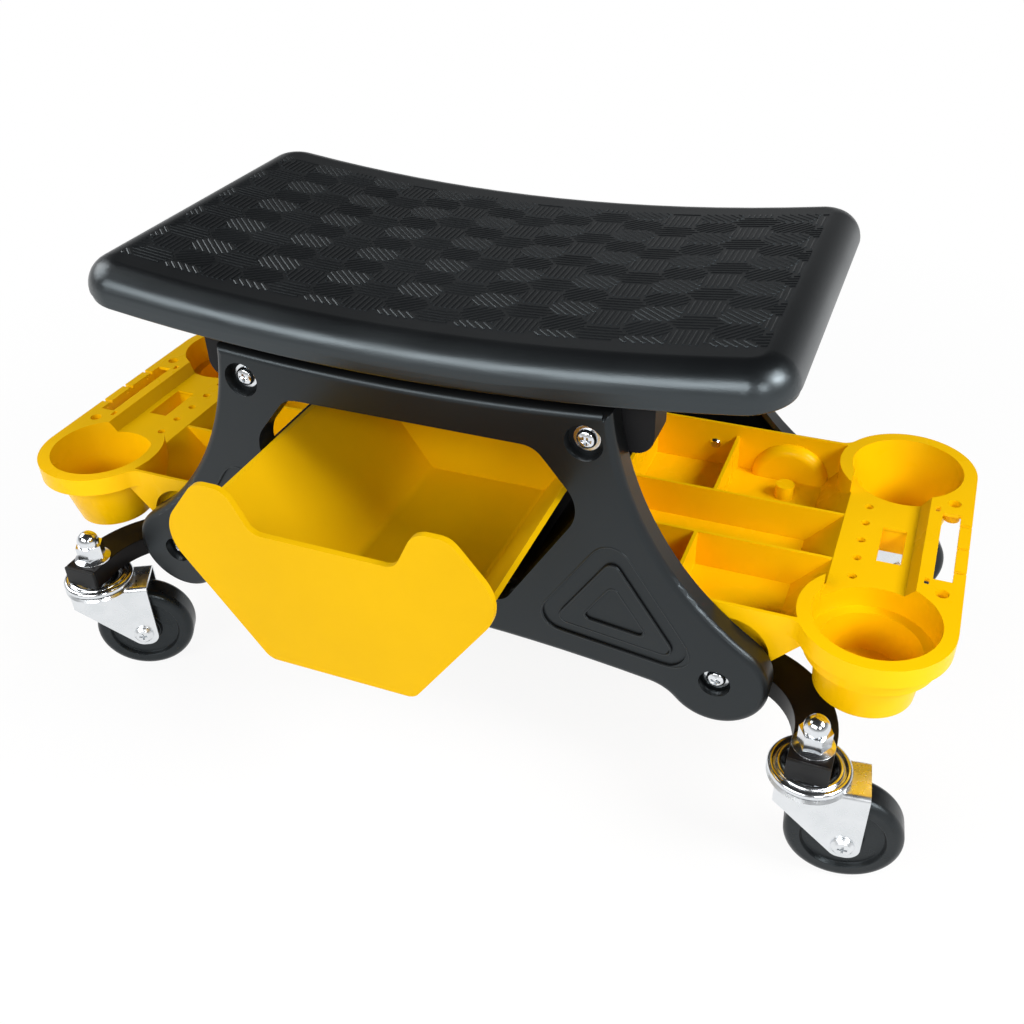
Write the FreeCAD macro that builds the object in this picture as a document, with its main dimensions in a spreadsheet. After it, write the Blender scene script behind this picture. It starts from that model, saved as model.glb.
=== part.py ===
"""Rolling mechanic seat with two end trays and a sliding drawer, as a parametric document.

Lengths are millimetres. X runs along the seat, the drawer opens towards -Y and Z is up.
The origin lies on the floor below the middle of the seat.
"""
import FreeCAD
import Part
import Sketcher
import math
import os
import re

SIZES = {
    # Seat
    "seat_length": 472,
    "seat_depth": 272,
    "seat_thickness": 27,
    "saddle_radius": 1480,
    "seat_corner": 28,
    "seat_round": 19,
    "seat_wall": 4,
    "base_height": 5,
    "base_inset": 1.2,
    "base_round": 2,
    "seat_gap": 8,
    "parting_gap": 0.1,
    "rail_length": 312,
    "rail_width": 26,
    "rail_height": 28,
    "rail_corner": 12,
    "seat_screw_x": 60,
    "seat_screw_shank": 3,
    "seat_screw_head": 5.5,
    "seat_screw_cap": 4,
    # Side panels
    "panel_face": 128.5,
    "panel_thickness": 18,
    "panel_skin": 5,
    "panel_rim": 4,
    "panel_top": 295.7,
    "panel_top_half": 134.7,
    "panel_side_radius": 216,
    "panel_arch": 115,
    "panel_arch_radius": 1130,
    "panel_arch_blend": 30,
    "panel_round": 5,
    "lobe_radius": 34.5,
    "hub_length": 32,
    "hub_radius": 24,
    "hub_bore_slack": 0.3,
    "open_top": 271.1,
    "open_top_half": 86.8,
    "open_wide_half": 118.9,
    "open_wide": 231,
    "open_low": 144,
    "open_low_half": 63,
    "open_round": 13,
    "open_wide_round": 24,
    "open_top_round": 17,
    "emboss_x": 140,
    "emboss_z": 154,
    "emboss_size": 66,
    "emboss_depth": 1.6,
    "emboss_round": 15,
    # Panel bolts
    "upper_bolt_x": 118.4,
    "upper_bolt_z": 279.6,
    "lower_bolt_x": 208.6,
    "lower_bolt_z": 116.4,
    "upper_recess": 12.2,
    "lower_recess": 10.5,
    "recess_depth": 8,
    "boss_wall": 3.5,
    "bolt_shank": 4,
    "bolt_head": 6.4,
    "bolt_cap": 4.2,
    "washer_radius": 8.6,
    "washer_height": 1.6,
    "upper_bolt_reach": 34,
    "lower_bolt_reach": 54,
    # Chassis
    "tube_y": 78.8,
    "tube_width": 27,
    "tube_height": 15.5,
    "tube_low": 89.5,
    "tube_wall": 2,
    "bend_radius": 62,
    "tube_end": 162.8,
    "plug_cap": 3,
    "plug_depth": 6,
    "cross_wall": 2.5,
    "insert_length": 14,
    # Casters
    "caster_x": 276.5,
    "caster_y": 148,
    "wheel_radius": 37.5,
    "wheel_width": 23.5,
    "wheel_round": 6,
    "wheel_dish_inner": 12,
    "wheel_dish_outer": 27,
    "wheel_dish": 3,
    "trail": 27,
    "fork_gap": 28,
    "fork_sheet": 2.5,
    "fork_top": 83,
    "fork_front": 20,
    "fork_shoulder": 15,
    "fork_bend": 4,
    "fork_foot": 11,
    "fork_foot_round": 9,
    "foot_front": 4.5,
    "head_radius": 26.5,
    "head_height": 4,
    "cap_radius": 25.5,
    "cap_inner": 17,
    "cap_height": 5,
    "cap_web": 1.8,
    "race_gap": 0.4,
    "stem_radius": 6,
    "stem_collar": 9,
    "stem_flange": 10,
    "stem_flange_height": 3,
    "nut_flange": 13.5,
    "nut_flange_height": 3,
    "nut_corner": 10.6,
    "nut_hex_height": 11,
    "nut_dome": 8.2,
    "axle_radius": 4,
    "axle_head": 7.4,
    "axle_cap": 3.6,
    "axle_nut_corner": 7.5,
    "axle_nut_height": 6,
    "bush_radius": 6,
    "running": 0.05,
    # Drawer
    "drawer_face": 237,
    "drawer_plate": 4,
    "drawer_back": 5,
    "drawer_low": 150,
    "drawer_low_half": 50.3,
    "drawer_wide": 235.7,
    "drawer_wide_half": 112.4,
    "drawer_ear": 275,
    "drawer_ear_outer": 81,
    "drawer_ear_inner": 60,
    "drawer_scoop": 247.4,
    "drawer_scoop_half": 46.3,
    "drawer_round": 10,
    "ear_round": 13,
    "wide_round": 27,
    "drawer_wall": 3,
    "bin_top": 235,
    "bin_low_half": 48.5,
    "bin_wide_half": 103.5,
    "bin_crease": 6,
    "runner_x": 35,
    "runner_width": 16,
    "runner_inset": 2.5,
    "guide_gap": 0.5,
    "guide_wall": 3,
    "guide_rise": 74,
    # Trays
    "tray_inner": 100,
    "tray_end": 345.5,
    "tray_gap": 1.2,
    "tray_rim": 168,
    "tray_wall": 2.6,
    "tray_lip": 14,
    "deck_drop": 8.6,
    "deck_start": 262,
    "deck_end": 311,
    "deck_slope": 6,
    "ramp_start": 237,
    "divider_drop": 9,
    "divider_y": 27,
    "cross_divider_x": 168,
    "cup_y": 89.5,
    "cup_bore": 39.5,
    "cup_rim": 48.5,
    "ledge_drop": 24,
    "cup_gap": 10,
    "neck_blend": 12,
    "cup_low_bore": 32,
    "cup_floor_bore": 26,
    "hump_round": 8,
    "hump_radius": 30,
    "hump_depth": 10.8,
    "hump_shift": 2.4,
    "hump_lift": 13.6,
    "hump_gap": 2,
    "peg_x": 212,
    "peg_y": 78,
    "peg_radius": 7,
    "peg_height": 11,
    "hole_x": 276.8,
    "hole_pitch": 21.07,
    "hole_radius": 3,
    "pocket_x": 297.2,
    "pocket_length": 16,
    "pocket_width": 40,
    "slot_x": 331.8,
    "slot_length": 12,
    "slot_width": 78,
    "slit_width": 3.2,
    "slit_pitch": 27,
    "end_hole_x": 332.5,
    "end_hole_y": 52.7,
    "end_hole_radius": 4.4,
    "tiny_slot_x": 322.3,
    "tiny_slot_y": 42.6,
    "tiny_slot_length": 3,
    "tiny_slot_width": 6,
    "tray_screw_x": 150,
    "tray_screw_shank": 2,
    "tray_screw_head": 4.4,
    "tray_screw_cap": 2.6,
    "tray_screw_reach": 14,
    # Shared
    "seat_clearance": 0.3,
    "overrun": 1,
}

SHARES = {
    # Fastener heads and ends, as parts of the size that each one follows
    "screw_crown_share": 0.7,
    "screw_edge_share": 0.4,
    "screw_reach_share": 0.9,
    "axle_nut_share": 0.9,
    "flange_edge_share": 0.4,
    "flange_top_share": 0.9,
    "dome_straight_share": 0.3,
    # Embossed triangles inside one another
    "ring_share": 0.68,
    "ring_round_share": 0.4,
    "eye_share": 0.38,
    "eye_round_share": 0.3,
}
# Profile of a pan head from its crown to its edge: parts of its radius and of its height
PAN_HEAD_SHARES = ((0.5, 0.95), (0.85, 0.7), (1, 0.25))
# Corners of the embossed triangle, as parts of its size from its centre
EMBOSS_SHARES = ((-0.05, 0.98), (-0.91, -0.32), (0.98, -0.55))
PARALLEL_SHARE = 0.999
# Headings of the trailing wheels in degrees from +X
HEADINGS = {
    "front_right": 6.9,
    "front_left": 28.1,
    "rear_right": 17.0,
    "rear_left": -12.0,
}
CORNERS = {
    "front_right": (1, -1),
    "front_left": (-1, -1),
    "rear_right": (1, 1),
    "rear_left": (-1, 1),
}

doc = FreeCAD.newDocument("RollingSeat")
sheet = doc.addObject("Spreadsheet::Sheet", "Dims")
CELLS = {**SIZES, **SHARES}
for row, (name, value) in enumerate(CELLS.items(), 1):
    sheet.set(f"A{row}", name)
    sheet.set(f"B{row}", str(value))
    sheet.setAlias(f"B{row}", name)
doc.recompute()

nodes = []
V = FreeCAD.Vector


# Expressions and placements

def bound(text):
    """The expression with each size's name pointing at its cell."""
    def cell(word):
        return "Dims." + word.group() if word.group() in CELLS else word.group()
    return re.sub(r"[a-z_]+", cell, text)


def size(text):
    """The present value of an expression."""
    return float(sheet.evalExpression(bound(text)))


def bind(item, fields):
    for field, text in fields.items():
        item.setExpression(field, bound(text))
    return item


TURNS = {
    "Y": FreeCAD.Rotation(V(1, 0, 0), -90),
    "-Y": FreeCAD.Rotation(V(1, 0, 0), 90),
    "Z": FreeCAD.Rotation(),
}


def at(item, x, y, z, axis="Z"):
    """Places an object with its own Z along the axis and its base bound to the sheet."""
    item.Placement = FreeCAD.Placement(V(), TURNS[axis])
    return bind(item, {"Placement.Base.x": x, "Placement.Base.y": y, "Placement.Base.z": z})


# Primitives and booleans

def box(name, low, high):
    """A box between two corners, each given as three expressions."""
    item = doc.addObject("Part::Box", name)
    sides = zip(("Length", "Width", "Height"), low, high)
    bind(item, {side: f"({top}) - ({bottom})" for side, bottom, top in sides})
    return at(item, *low)


def cylinder(name, radius, height, x, y, z, axis="Z"):
    item = doc.addObject("Part::Cylinder", name)
    bind(item, {"Radius": radius, "Height": height})
    return at(item, x, y, z, axis)


def cone(name, low, high, height, x, y, z):
    item = doc.addObject("Part::Cone", name)
    bind(item, {"Radius1": low, "Radius2": high, "Height": height})
    return at(item, x, y, z)


def fuse(name, items):
    item = doc.addObject("Part::MultiFuse", name)
    item.Shapes = items
    return item


def cut(name, base, tools):
    item = doc.addObject("Part::Cut", name)
    item.Base = base
    item.Tool = tools[0] if len(tools) == 1 else fuse(name + "_tools", tools)
    return item


# Sketches and bodies

def sketch_on(body, role, offset="0"):
    plane = next(item for item in body.Origin.OriginFeatures if item.Role == role)
    sketch = body.newObject("Sketcher::SketchObject", body.Name + "_sketch")
    sketch.AttachmentSupport = [(plane, "")]
    sketch.MapMode = "FlatFace"
    if offset != "0":
        bind(sketch, {"AttachmentOffset.Base.z": offset})
    return sketch


def arc_between(start, end, radius, turn):
    """A minor arc between two points, anticlockwise where the turn is 1."""
    middle = (start + end) * 0.5
    along = end - start
    rise = math.sqrt(radius ** 2 - (along.Length / 2) ** 2)
    centre = middle + V(-along.y, along.x, 0).normalize() * rise * turn
    first, last = (start, end) if turn > 0 else (end, start)
    angles = [math.atan2(point.y - centre.y, point.x - centre.x) for point in (first, last)]
    return Part.ArcOfCircle(Part.Circle(centre, V(0, 0, 1), radius), *angles)


def draw(sketch, outline):
    """A closed outline: each entry holds two coordinates, and a radius and a turn where an arc leaves it."""
    points = [V(size(entry[0]), size(entry[1]), 0) for entry in outline]
    count = len(outline)
    base = sketch.GeometryCount
    starts, ends = [], []
    for index, entry in enumerate(outline):
        start, end = points[index], points[(index + 1) % count]
        if len(entry) == 2:
            sketch.addGeometry(Part.LineSegment(start, end))
            starts.append(1)
        else:
            sketch.addGeometry(arc_between(start, end, size(entry[2]), entry[3]))
            starts.append(1 if entry[3] > 0 else 2)
        ends.append(2 if starts[-1] == 1 else 1)
    for index, entry in enumerate(outline):
        after = (index + 1) % count
        sketch.addConstraint(Sketcher.Constraint(
            "Coincident", base + index, ends[index], base + after, starts[after]))
        for kind, text, axis in (("DistanceX", entry[0], -2), ("DistanceY", entry[1], -1)):
            if text == "0":
                sketch.addConstraint(Sketcher.Constraint("PointOnObject", base + index, starts[index], axis))
                continue
            number = sketch.addConstraint(Sketcher.Constraint(
                kind, -1, 1, base + index, starts[index], size(text)))
            bind(sketch, {f"Constraints[{number}]": text})
        if len(entry) == 4:
            number = sketch.addConstraint(Sketcher.Constraint("Radius", base + index, size(entry[2])))
            bind(sketch, {f"Constraints[{number}]": entry[2]})


def padded(name, role, outline, offset, length, reverse=False):
    """A body with one padded outline."""
    body = doc.addObject("PartDesign::Body", name)
    sketch = sketch_on(body, role, offset)
    draw(sketch, outline)
    pad = body.newObject("PartDesign::Pad", name + "_pad")
    pad.Profile = sketch
    pad.Reversed = reverse
    bind(pad, {"Length": length})
    doc.recompute()
    return body


def revolved(name, outline):
    """A body turned about Z from an outline of radius and height."""
    body = doc.addObject("PartDesign::Body", name)
    sketch = sketch_on(body, "XZ_Plane")
    draw(sketch, outline)
    turned = body.newObject("PartDesign::Revolution", name + "_turned")
    turned.Profile = sketch
    turned.ReferenceAxis = (sketch, ["V_Axis"])
    doc.recompute()
    return body


def rounded(body, radius, test):
    """Fillets the edges of a body that pass the test."""
    base = body.Tip
    names = [f"Edge{index}" for index, edge in enumerate(base.Shape.Edges, 1) if test(edge)]
    fillet = body.newObject("PartDesign::Fillet", body.Name + "_fillet")
    fillet.Base = (base, names)
    bind(fillet, {"Radius": radius})
    doc.recompute()
    return body


def runs_along(axis):
    """A test for straight edges parallel to an axis."""
    def test(edge):
        return isinstance(edge.Curve, Part.Line) and abs(edge.Curve.Direction.dot(axis)) > PARALLEL_SHARE
    return test


def across_at(height, axis=V(0, 1, 0)):
    """A test for straight edges along an axis, Y unless named, at this height."""
    level = size(height)
    parallel = runs_along(axis)
    return lambda edge: parallel(edge) and abs(edge.CenterOfMass.z - level) < size("overrun")


def on_arc_face(body, radius):
    """A test for the edges round a body's curved face of this radius."""
    near = size("parting_gap / 2")
    faces = [
        face for face in body.Tip.Shape.Faces
        if isinstance(face.Surface, Part.Cylinder) and abs(face.Surface.Radius - radius) < near
    ]
    ring = [edge for face in faces for edge in face.Edges]
    return lambda edge: any(edge.isSame(other) for other in ring)


def node(label, item):
    item.Label = label
    nodes.append(item)
    return item


def copies(label, item, places):
    """A node of separate solids: one copy of a finished object at each place."""
    doc.recompute()
    solids = []
    for place in places:
        solid = item.Shape.copy()
        solid.Placement = place.multiply(solid.Placement)
        solids.append(solid)
    group = doc.addObject("Part::Feature", label)
    group.Shape = solids[0] if len(solids) == 1 else Part.makeCompound(solids)
    return node(label, group)


def mirrored_y(x, y, z):
    """Places on both panels: the object's own Z runs into the panel from its outer face."""
    return [
        FreeCAD.Placement(V(sign_x * x, sign_y * y, z), TURNS["Y" if sign_y < 0 else "-Y"])
        for sign_x in (-1, 1) for sign_y in (-1, 1)
    ]


# Seat

def saddle_height(offset, across):
    """Height of the saddle curve at this distance above the underside and from the middle."""
    return (f"panel_top + seat_gap + saddle_radius"
            f" - sqrt((saddle_radius - ({offset}))^2 - ({across})^2)")


def saddle_band(name, half_length, half_depth, low, high):
    """A curved slab between two offsets above the seat's underside."""
    outline = [
        (f"-({half_length})", saddle_height(low, half_length), f"saddle_radius - ({low})", 1),
        (half_length, saddle_height(low, half_length)),
        (half_length, saddle_height(high, half_length), f"saddle_radius - ({high})", -1),
        (f"-({half_length})", saddle_height(high, half_length)),
    ]
    return padded(name, "XZ_Plane", outline, f"-({half_depth})", f"2 * ({half_depth})")


def seat():
    upright = runs_along(V(0, 0, 1))
    top = saddle_band("seat_shell", "seat_length / 2", "seat_depth / 2",
                      "base_height + parting_gap", "seat_thickness")
    rounded(top, "seat_corner", upright)
    rounded(top, "seat_round", on_arc_face(top, size("saddle_radius - seat_thickness")))
    core = saddle_band("seat_core", "seat_length / 2 - seat_wall", "seat_depth / 2 - seat_wall",
                       "base_height - overrun", "seat_thickness - seat_wall")
    rounded(core, "seat_corner - seat_wall", upright)
    ceiling = size("saddle_radius - seat_thickness + seat_wall")
    rounded(core, "seat_round - seat_wall", on_arc_face(core, ceiling))
    node("seat_top", cut("seat_top_cut", top, [core]))

    base = saddle_band("seat_pan", "seat_length / 2 - base_inset", "seat_depth / 2 - base_inset",
                       "0", "base_height")
    rounded(base, "seat_corner - base_inset", upright)
    rounded(base, "base_round", on_arc_face(base, size("saddle_radius")))
    hollow = saddle_band("pan_hollow", "rail_length / 2 - seat_screw_x",
                         "panel_face - panel_thickness - rail_width", "base_height / 2", "base_height + overrun")
    holes = [
        cylinder(f"pan_hole_{sign_x}_{sign_y}", "seat_screw_shank + running", "seat_gap + 2 * base_height",
                 f"{sign_x} * seat_screw_x", f"{sign_y} * (panel_face - panel_thickness - rail_width / 2)",
                 "panel_top")
        for sign_x in (-1, 1) for sign_y in (-1, 1)
    ]
    node("seat_base", cut("seat_base_cut", base, [hollow] + holes))

    low = "panel_top - rail_height"
    outline = [
        ("-rail_length / 2", low),
        ("rail_length / 2", low),
        ("rail_length / 2", saddle_height("0", "rail_length / 2") + " - seat_clearance", "saddle_radius", -1),
        ("-rail_length / 2", saddle_height("0", "rail_length / 2") + " - seat_clearance"),
    ]
    for side, name in ((-1, "front"), (1, "rear")):
        inner = "panel_face - panel_thickness - seat_clearance"
        offset = f"({inner}) - rail_width" if side < 0 else f"-({inner})"
        rail = padded(f"rail_{name}", "XZ_Plane", outline, offset, "rail_width")
        rounded(rail, "rail_corner", across_at(low))
        bolts = [
            cylinder(f"rail_{name}_bolt_{sign}", "bolt_shank + running", "panel_face",
                     f"{sign} * upper_bolt_x", f"{side} * panel_face", "upper_bolt_z",
                     "Y" if side < 0 else "-Y")
            for sign in (-1, 1)
        ]
        screws = [
            cylinder(f"rail_{name}_screw_{sign}", "seat_screw_shank + running", "2 * rail_height",
                     f"{sign} * seat_screw_x", f"{side} * (panel_face - panel_thickness - rail_width / 2)",
                     low + " - overrun")
            for sign in (-1, 1)
        ]
        node(f"seat_rail_{name}", cut(f"rail_{name}_cut", rail, bolts + screws))

    reach = "rail_height + seat_gap + base_height * screw_reach_share"
    screw = revolved("seat_screw", [
        ("0", "-seat_screw_cap"),
        ("seat_screw_head * screw_crown_share", "-seat_screw_cap"),
        ("seat_screw_head", "-seat_screw_cap / 2"),
        ("seat_screw_head", "0"),
        ("seat_screw_shank", "0"),
        ("seat_screw_shank", reach),
        ("0", reach),
    ])
    copies("seat_screws", screw, [
        FreeCAD.Placement(V(sign_x * size("seat_screw_x"),
                            sign_y * size("panel_face - panel_thickness - rail_width / 2"), size(low)),
                          FreeCAD.Rotation())
        for sign_x in (-1, 1) for sign_y in (-1, 1)
    ])


# Side panels

def panel_outline(inset):
    """The panel's closed outline in X and Z, drawn in by an inset."""
    bolt = V(size("lower_bolt_x"), 0, size("lower_bolt_z"))
    lobe = size("lobe_radius") - inset
    side = size("panel_side_radius") + inset
    half = size("panel_top_half")
    top_radius = size("saddle_radius") + inset
    top_centre = V(0, 0, size("panel_top + saddle_radius"))
    arch = size("panel_arch_radius") + inset
    arch_centre = V(0, 0, size("panel_arch - panel_arch_radius"))
    blend = size("panel_arch_blend") + inset

    def meeting(first, first_radius, second, second_radius, pick):
        """The crossing of two circles that the pick prefers."""
        gap = second - first
        along = (first_radius ** 2 - second_radius ** 2 + gap.Length ** 2) / (2 * gap.Length)
        out = math.sqrt(first_radius ** 2 - along ** 2)
        step = V(gap).normalize()
        foot = first + step * along
        return max((foot + V(-step.z, 0, step.x) * out * turn for turn in (-1, 1)), key=pick)

    corner = V(half, 0, top_centre.z - math.sqrt(size("saddle_radius") ** 2 - half ** 2))
    side_centre = meeting(corner, size("panel_side_radius"), bolt,
                          size("panel_side_radius + lobe_radius"), lambda point: point.x)
    blend_centre = meeting(arch_centre, size("panel_arch_radius - panel_arch_blend"), bolt,
                           size("panel_arch_blend + lobe_radius"), lambda point: -point.x)
    # The blend lies below the arch, so its centre is inside the arch's circle
    shoulder = meeting(top_centre, top_radius, side_centre, side, lambda point: point.z - point.x)
    neck = bolt + V(side_centre - bolt).normalize() * lobe
    heel = bolt + V(blend_centre - bolt).normalize() * lobe
    toe = blend_centre + V(blend_centre - arch_centre).normalize() * blend

    def flip(point):
        return V(-point.x, 0, point.z)

    def through(centre, start, end):
        """The arc's middle point, on the side of its centre where the chord lies."""
        middle = (start + end) * 0.5 - centre
        return centre + middle.normalize() * (start - centre).Length

    lobe_middle = bolt + V(1, 0, -1).normalize() * lobe
    right = [
        Part.Arc(shoulder, through(side_centre, shoulder, neck), neck),
        Part.Arc(neck, lobe_middle, heel),
        Part.Arc(heel, through(blend_centre, heel, toe), toe),
    ]
    bottom = Part.Arc(toe, arch_centre + V(0, 0, arch), flip(toe))
    left = [
        Part.Arc(flip(heel), through(flip(blend_centre), flip(heel), flip(toe)), flip(toe)),
        Part.Arc(flip(neck), flip(lobe_middle), flip(heel)),
        Part.Arc(flip(shoulder), through(flip(side_centre), flip(shoulder), flip(neck)), flip(neck)),
    ]
    top = Part.Arc(flip(shoulder), top_centre - V(0, 0, top_radius), shoulder)
    edges = [curve.toShape() for curve in right + [bottom] + left + [top]]
    return Part.Wire(Part.__sortEdges__(edges))


def hexagon(grow):
    """Corners of the drawer opening, grown by a wall."""
    return [
        (f"-(open_low_half + ({grow}) / 2)", f"open_low - ({grow})"),
        (f"open_low_half + ({grow}) / 2", f"open_low - ({grow})"),
        (f"open_wide_half + ({grow})", "open_wide"),
        (f"open_top_half + ({grow}) / 2", f"open_top + ({grow})"),
        (f"-(open_top_half + ({grow}) / 2)", f"open_top + ({grow})"),
        (f"-(open_wide_half + ({grow}))", "open_wide"),
    ]


def hexagon_prism(name, grow, offset, length):
    body = padded(name, "XZ_Plane", hexagon(grow), offset, length)
    rounded(body, f"open_round + ({grow})", across_at(f"open_low - ({grow})"))
    rounded(body, f"open_wide_round + ({grow})", across_at("open_wide"))
    return rounded(body, f"open_top_round + ({grow})", across_at(f"open_top + ({grow})"))


def triangle_prism(name, side, share, round_share, offset, length):
    corners = [
        (f"{side} * (emboss_x + emboss_size * {share} * ({across}))",
         f"emboss_z + emboss_size * {share} * ({up})")
        for across, up in EMBOSS_SHARES
    ]
    body = padded(name, "XZ_Plane", corners if side > 0 else corners[::-1], offset, length)
    return rounded(body, f"emboss_round * {round_share}", runs_along(V(0, 1, 0)))


def slab(name, inset, depth):
    """The panel's outline as a slab from the front panel's inner face outwards."""
    item = doc.addObject("Part::Feature", name)
    face = Part.Face(panel_outline(inset))
    item.Shape = face.extrude(V(0, -depth, 0))
    item.Placement = FreeCAD.Placement(V(0, -size("panel_face - panel_thickness"), 0), FreeCAD.Rotation())
    return item


def panel():
    """The front panel: a skin with a rim, a walled opening, bosses and embossed triangles."""
    inner = "panel_face - panel_thickness"
    blank = slab("panel_blank", 0, size("panel_thickness"))
    doc.recompute()
    outer_loop = [
        f"Edge{index}" for index, edge in enumerate(blank.Shape.Edges, 1)
        if abs(edge.CenterOfMass.y + size("panel_face")) < size("panel_round") / 2
    ]
    body = doc.addObject("Part::Fillet", "panel_rounded")
    body.Base = blank
    radius = size("panel_round")
    body.Edges = [(int(name[4:]), radius, radius) for name in outer_loop]

    hollow_depth = "panel_thickness - panel_skin"
    hollow = slab("panel_hollow", size("panel_rim"), size(hollow_depth))
    keeps = [hexagon_prism("opening_wall", "panel_rim", inner, hollow_depth)]
    shafts = [hexagon_prism("opening", "0", f"({inner}) - overrun", "panel_thickness + 2 * overrun")]
    for side in (-1, 1):
        for kind in ("upper", "lower"):
            x, z = f"{side} * {kind}_bolt_x", f"{kind}_bolt_z"
            keeps.append(cylinder(f"{kind}_boss_{side}", f"{kind}_recess + boss_wall", hollow_depth,
                                  x, f"-({inner})", z, "-Y"))
            shafts.append(cylinder(f"{kind}_recess_{side}", f"{kind}_recess", "recess_depth + overrun",
                                   x, "-panel_face - overrun", z, "Y"))
            shafts.append(cylinder(f"{kind}_shaft_{side}", "bolt_shank + seat_clearance",
                                   "panel_thickness + overrun", x, "-panel_face", z, "Y"))
        x = f"{side} * tray_screw_x"
        keeps.append(cylinder(f"screw_boss_{side}", "tray_screw_head + boss_wall", hollow_depth,
                              x, f"-({inner})", TRAY_SCREW_Z, "-Y"))
        shafts.append(cylinder(f"screw_shaft_{side}", "tray_screw_shank + running", "tray_screw_reach",
                               x, f"-({inner})", TRAY_SCREW_Z, "-Y"))
        outer = "panel_face - emboss_depth"
        deep = "emboss_depth + overrun"
        ring = triangle_prism(f"emboss_ring_{side}", side, "1", "1", outer, deep)
        island = triangle_prism(f"emboss_island_{side}", side, "ring_share", "ring_round_share", outer, deep)
        eye = triangle_prism(f"emboss_eye_{side}", side, "eye_share", "eye_round_share", outer, deep)
        shafts += [cut(f"emboss_groove_{side}", ring, [island]), eye]
    carved = cut("panel_carved", body, [cut("panel_relief", hollow, keeps)])
    whole = cut("panel_whole", carved, shafts)
    copies("side_panel_front", whole, [FreeCAD.Placement()])
    copies("side_panel_rear", whole, [FreeCAD.Placement(V(), FreeCAD.Rotation(V(0, 0, 1), 180))])


def bolt_outline(reach):
    """A pan-head bolt: its head ends at the washer and its shank runs on from there."""
    return [
        ("0", "-bolt_cap"),
        *[(f"bolt_head * {out}", f"-bolt_cap * {up}") for out, up in PAN_HEAD_SHARES],
        ("bolt_head", "0"),
        ("bolt_shank", "0"),
        ("bolt_shank", reach),
        ("0", reach),
    ]


def panel_bolts():
    washer = revolved("washer", [
        ("bolt_shank + seat_clearance", "0"),
        ("washer_radius", "0"),
        ("washer_radius", "washer_height"),
        ("bolt_shank + seat_clearance", "washer_height"),
    ])
    for kind in ("upper", "lower"):
        x, z = size(f"{kind}_bolt_x"), size(f"{kind}_bolt_z")
        bolt = revolved(f"{kind}_bolt", bolt_outline(f"{kind}_bolt_reach"))
        copies(f"{kind}_bolts", bolt, mirrored_y(x, size("panel_face - recess_depth + washer_height"), z))
        copies(f"{kind}_washers", washer, mirrored_y(x, size("panel_face - recess_depth + washer_height"), z))


# Chassis

def tube_band(name, half_width, low, height, end):
    """A flat band along the front tube's route: straight, and turned outwards at both ends."""
    near = f"-tube_y - ({half_width})"
    far = f"-tube_y + ({half_width})"
    bend = "caster_x - bend_radius"
    inner = f"bend_radius - ({half_width})"
    outer = f"bend_radius + ({half_width})"
    outside = f"caster_x + ({half_width})"
    inside = f"caster_x - ({half_width})"
    turn_y = "-tube_y - bend_radius"
    outline = [
        (f"-({bend})", far, outer, 1),
        (f"-({outside})", turn_y),
        (f"-({outside})", f"-({end})"),
        (f"-({inside})", f"-({end})"),
        (f"-({inside})", turn_y, inner, -1),
        (f"-({bend})", near),
        (bend, near, inner, -1),
        (inside, turn_y),
        (inside, f"-({end})"),
        (outside, f"-({end})"),
        (outside, turn_y, outer, 1),
        (bend, far),
    ]
    return padded(name, "XY_Plane", outline, low, height)


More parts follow.
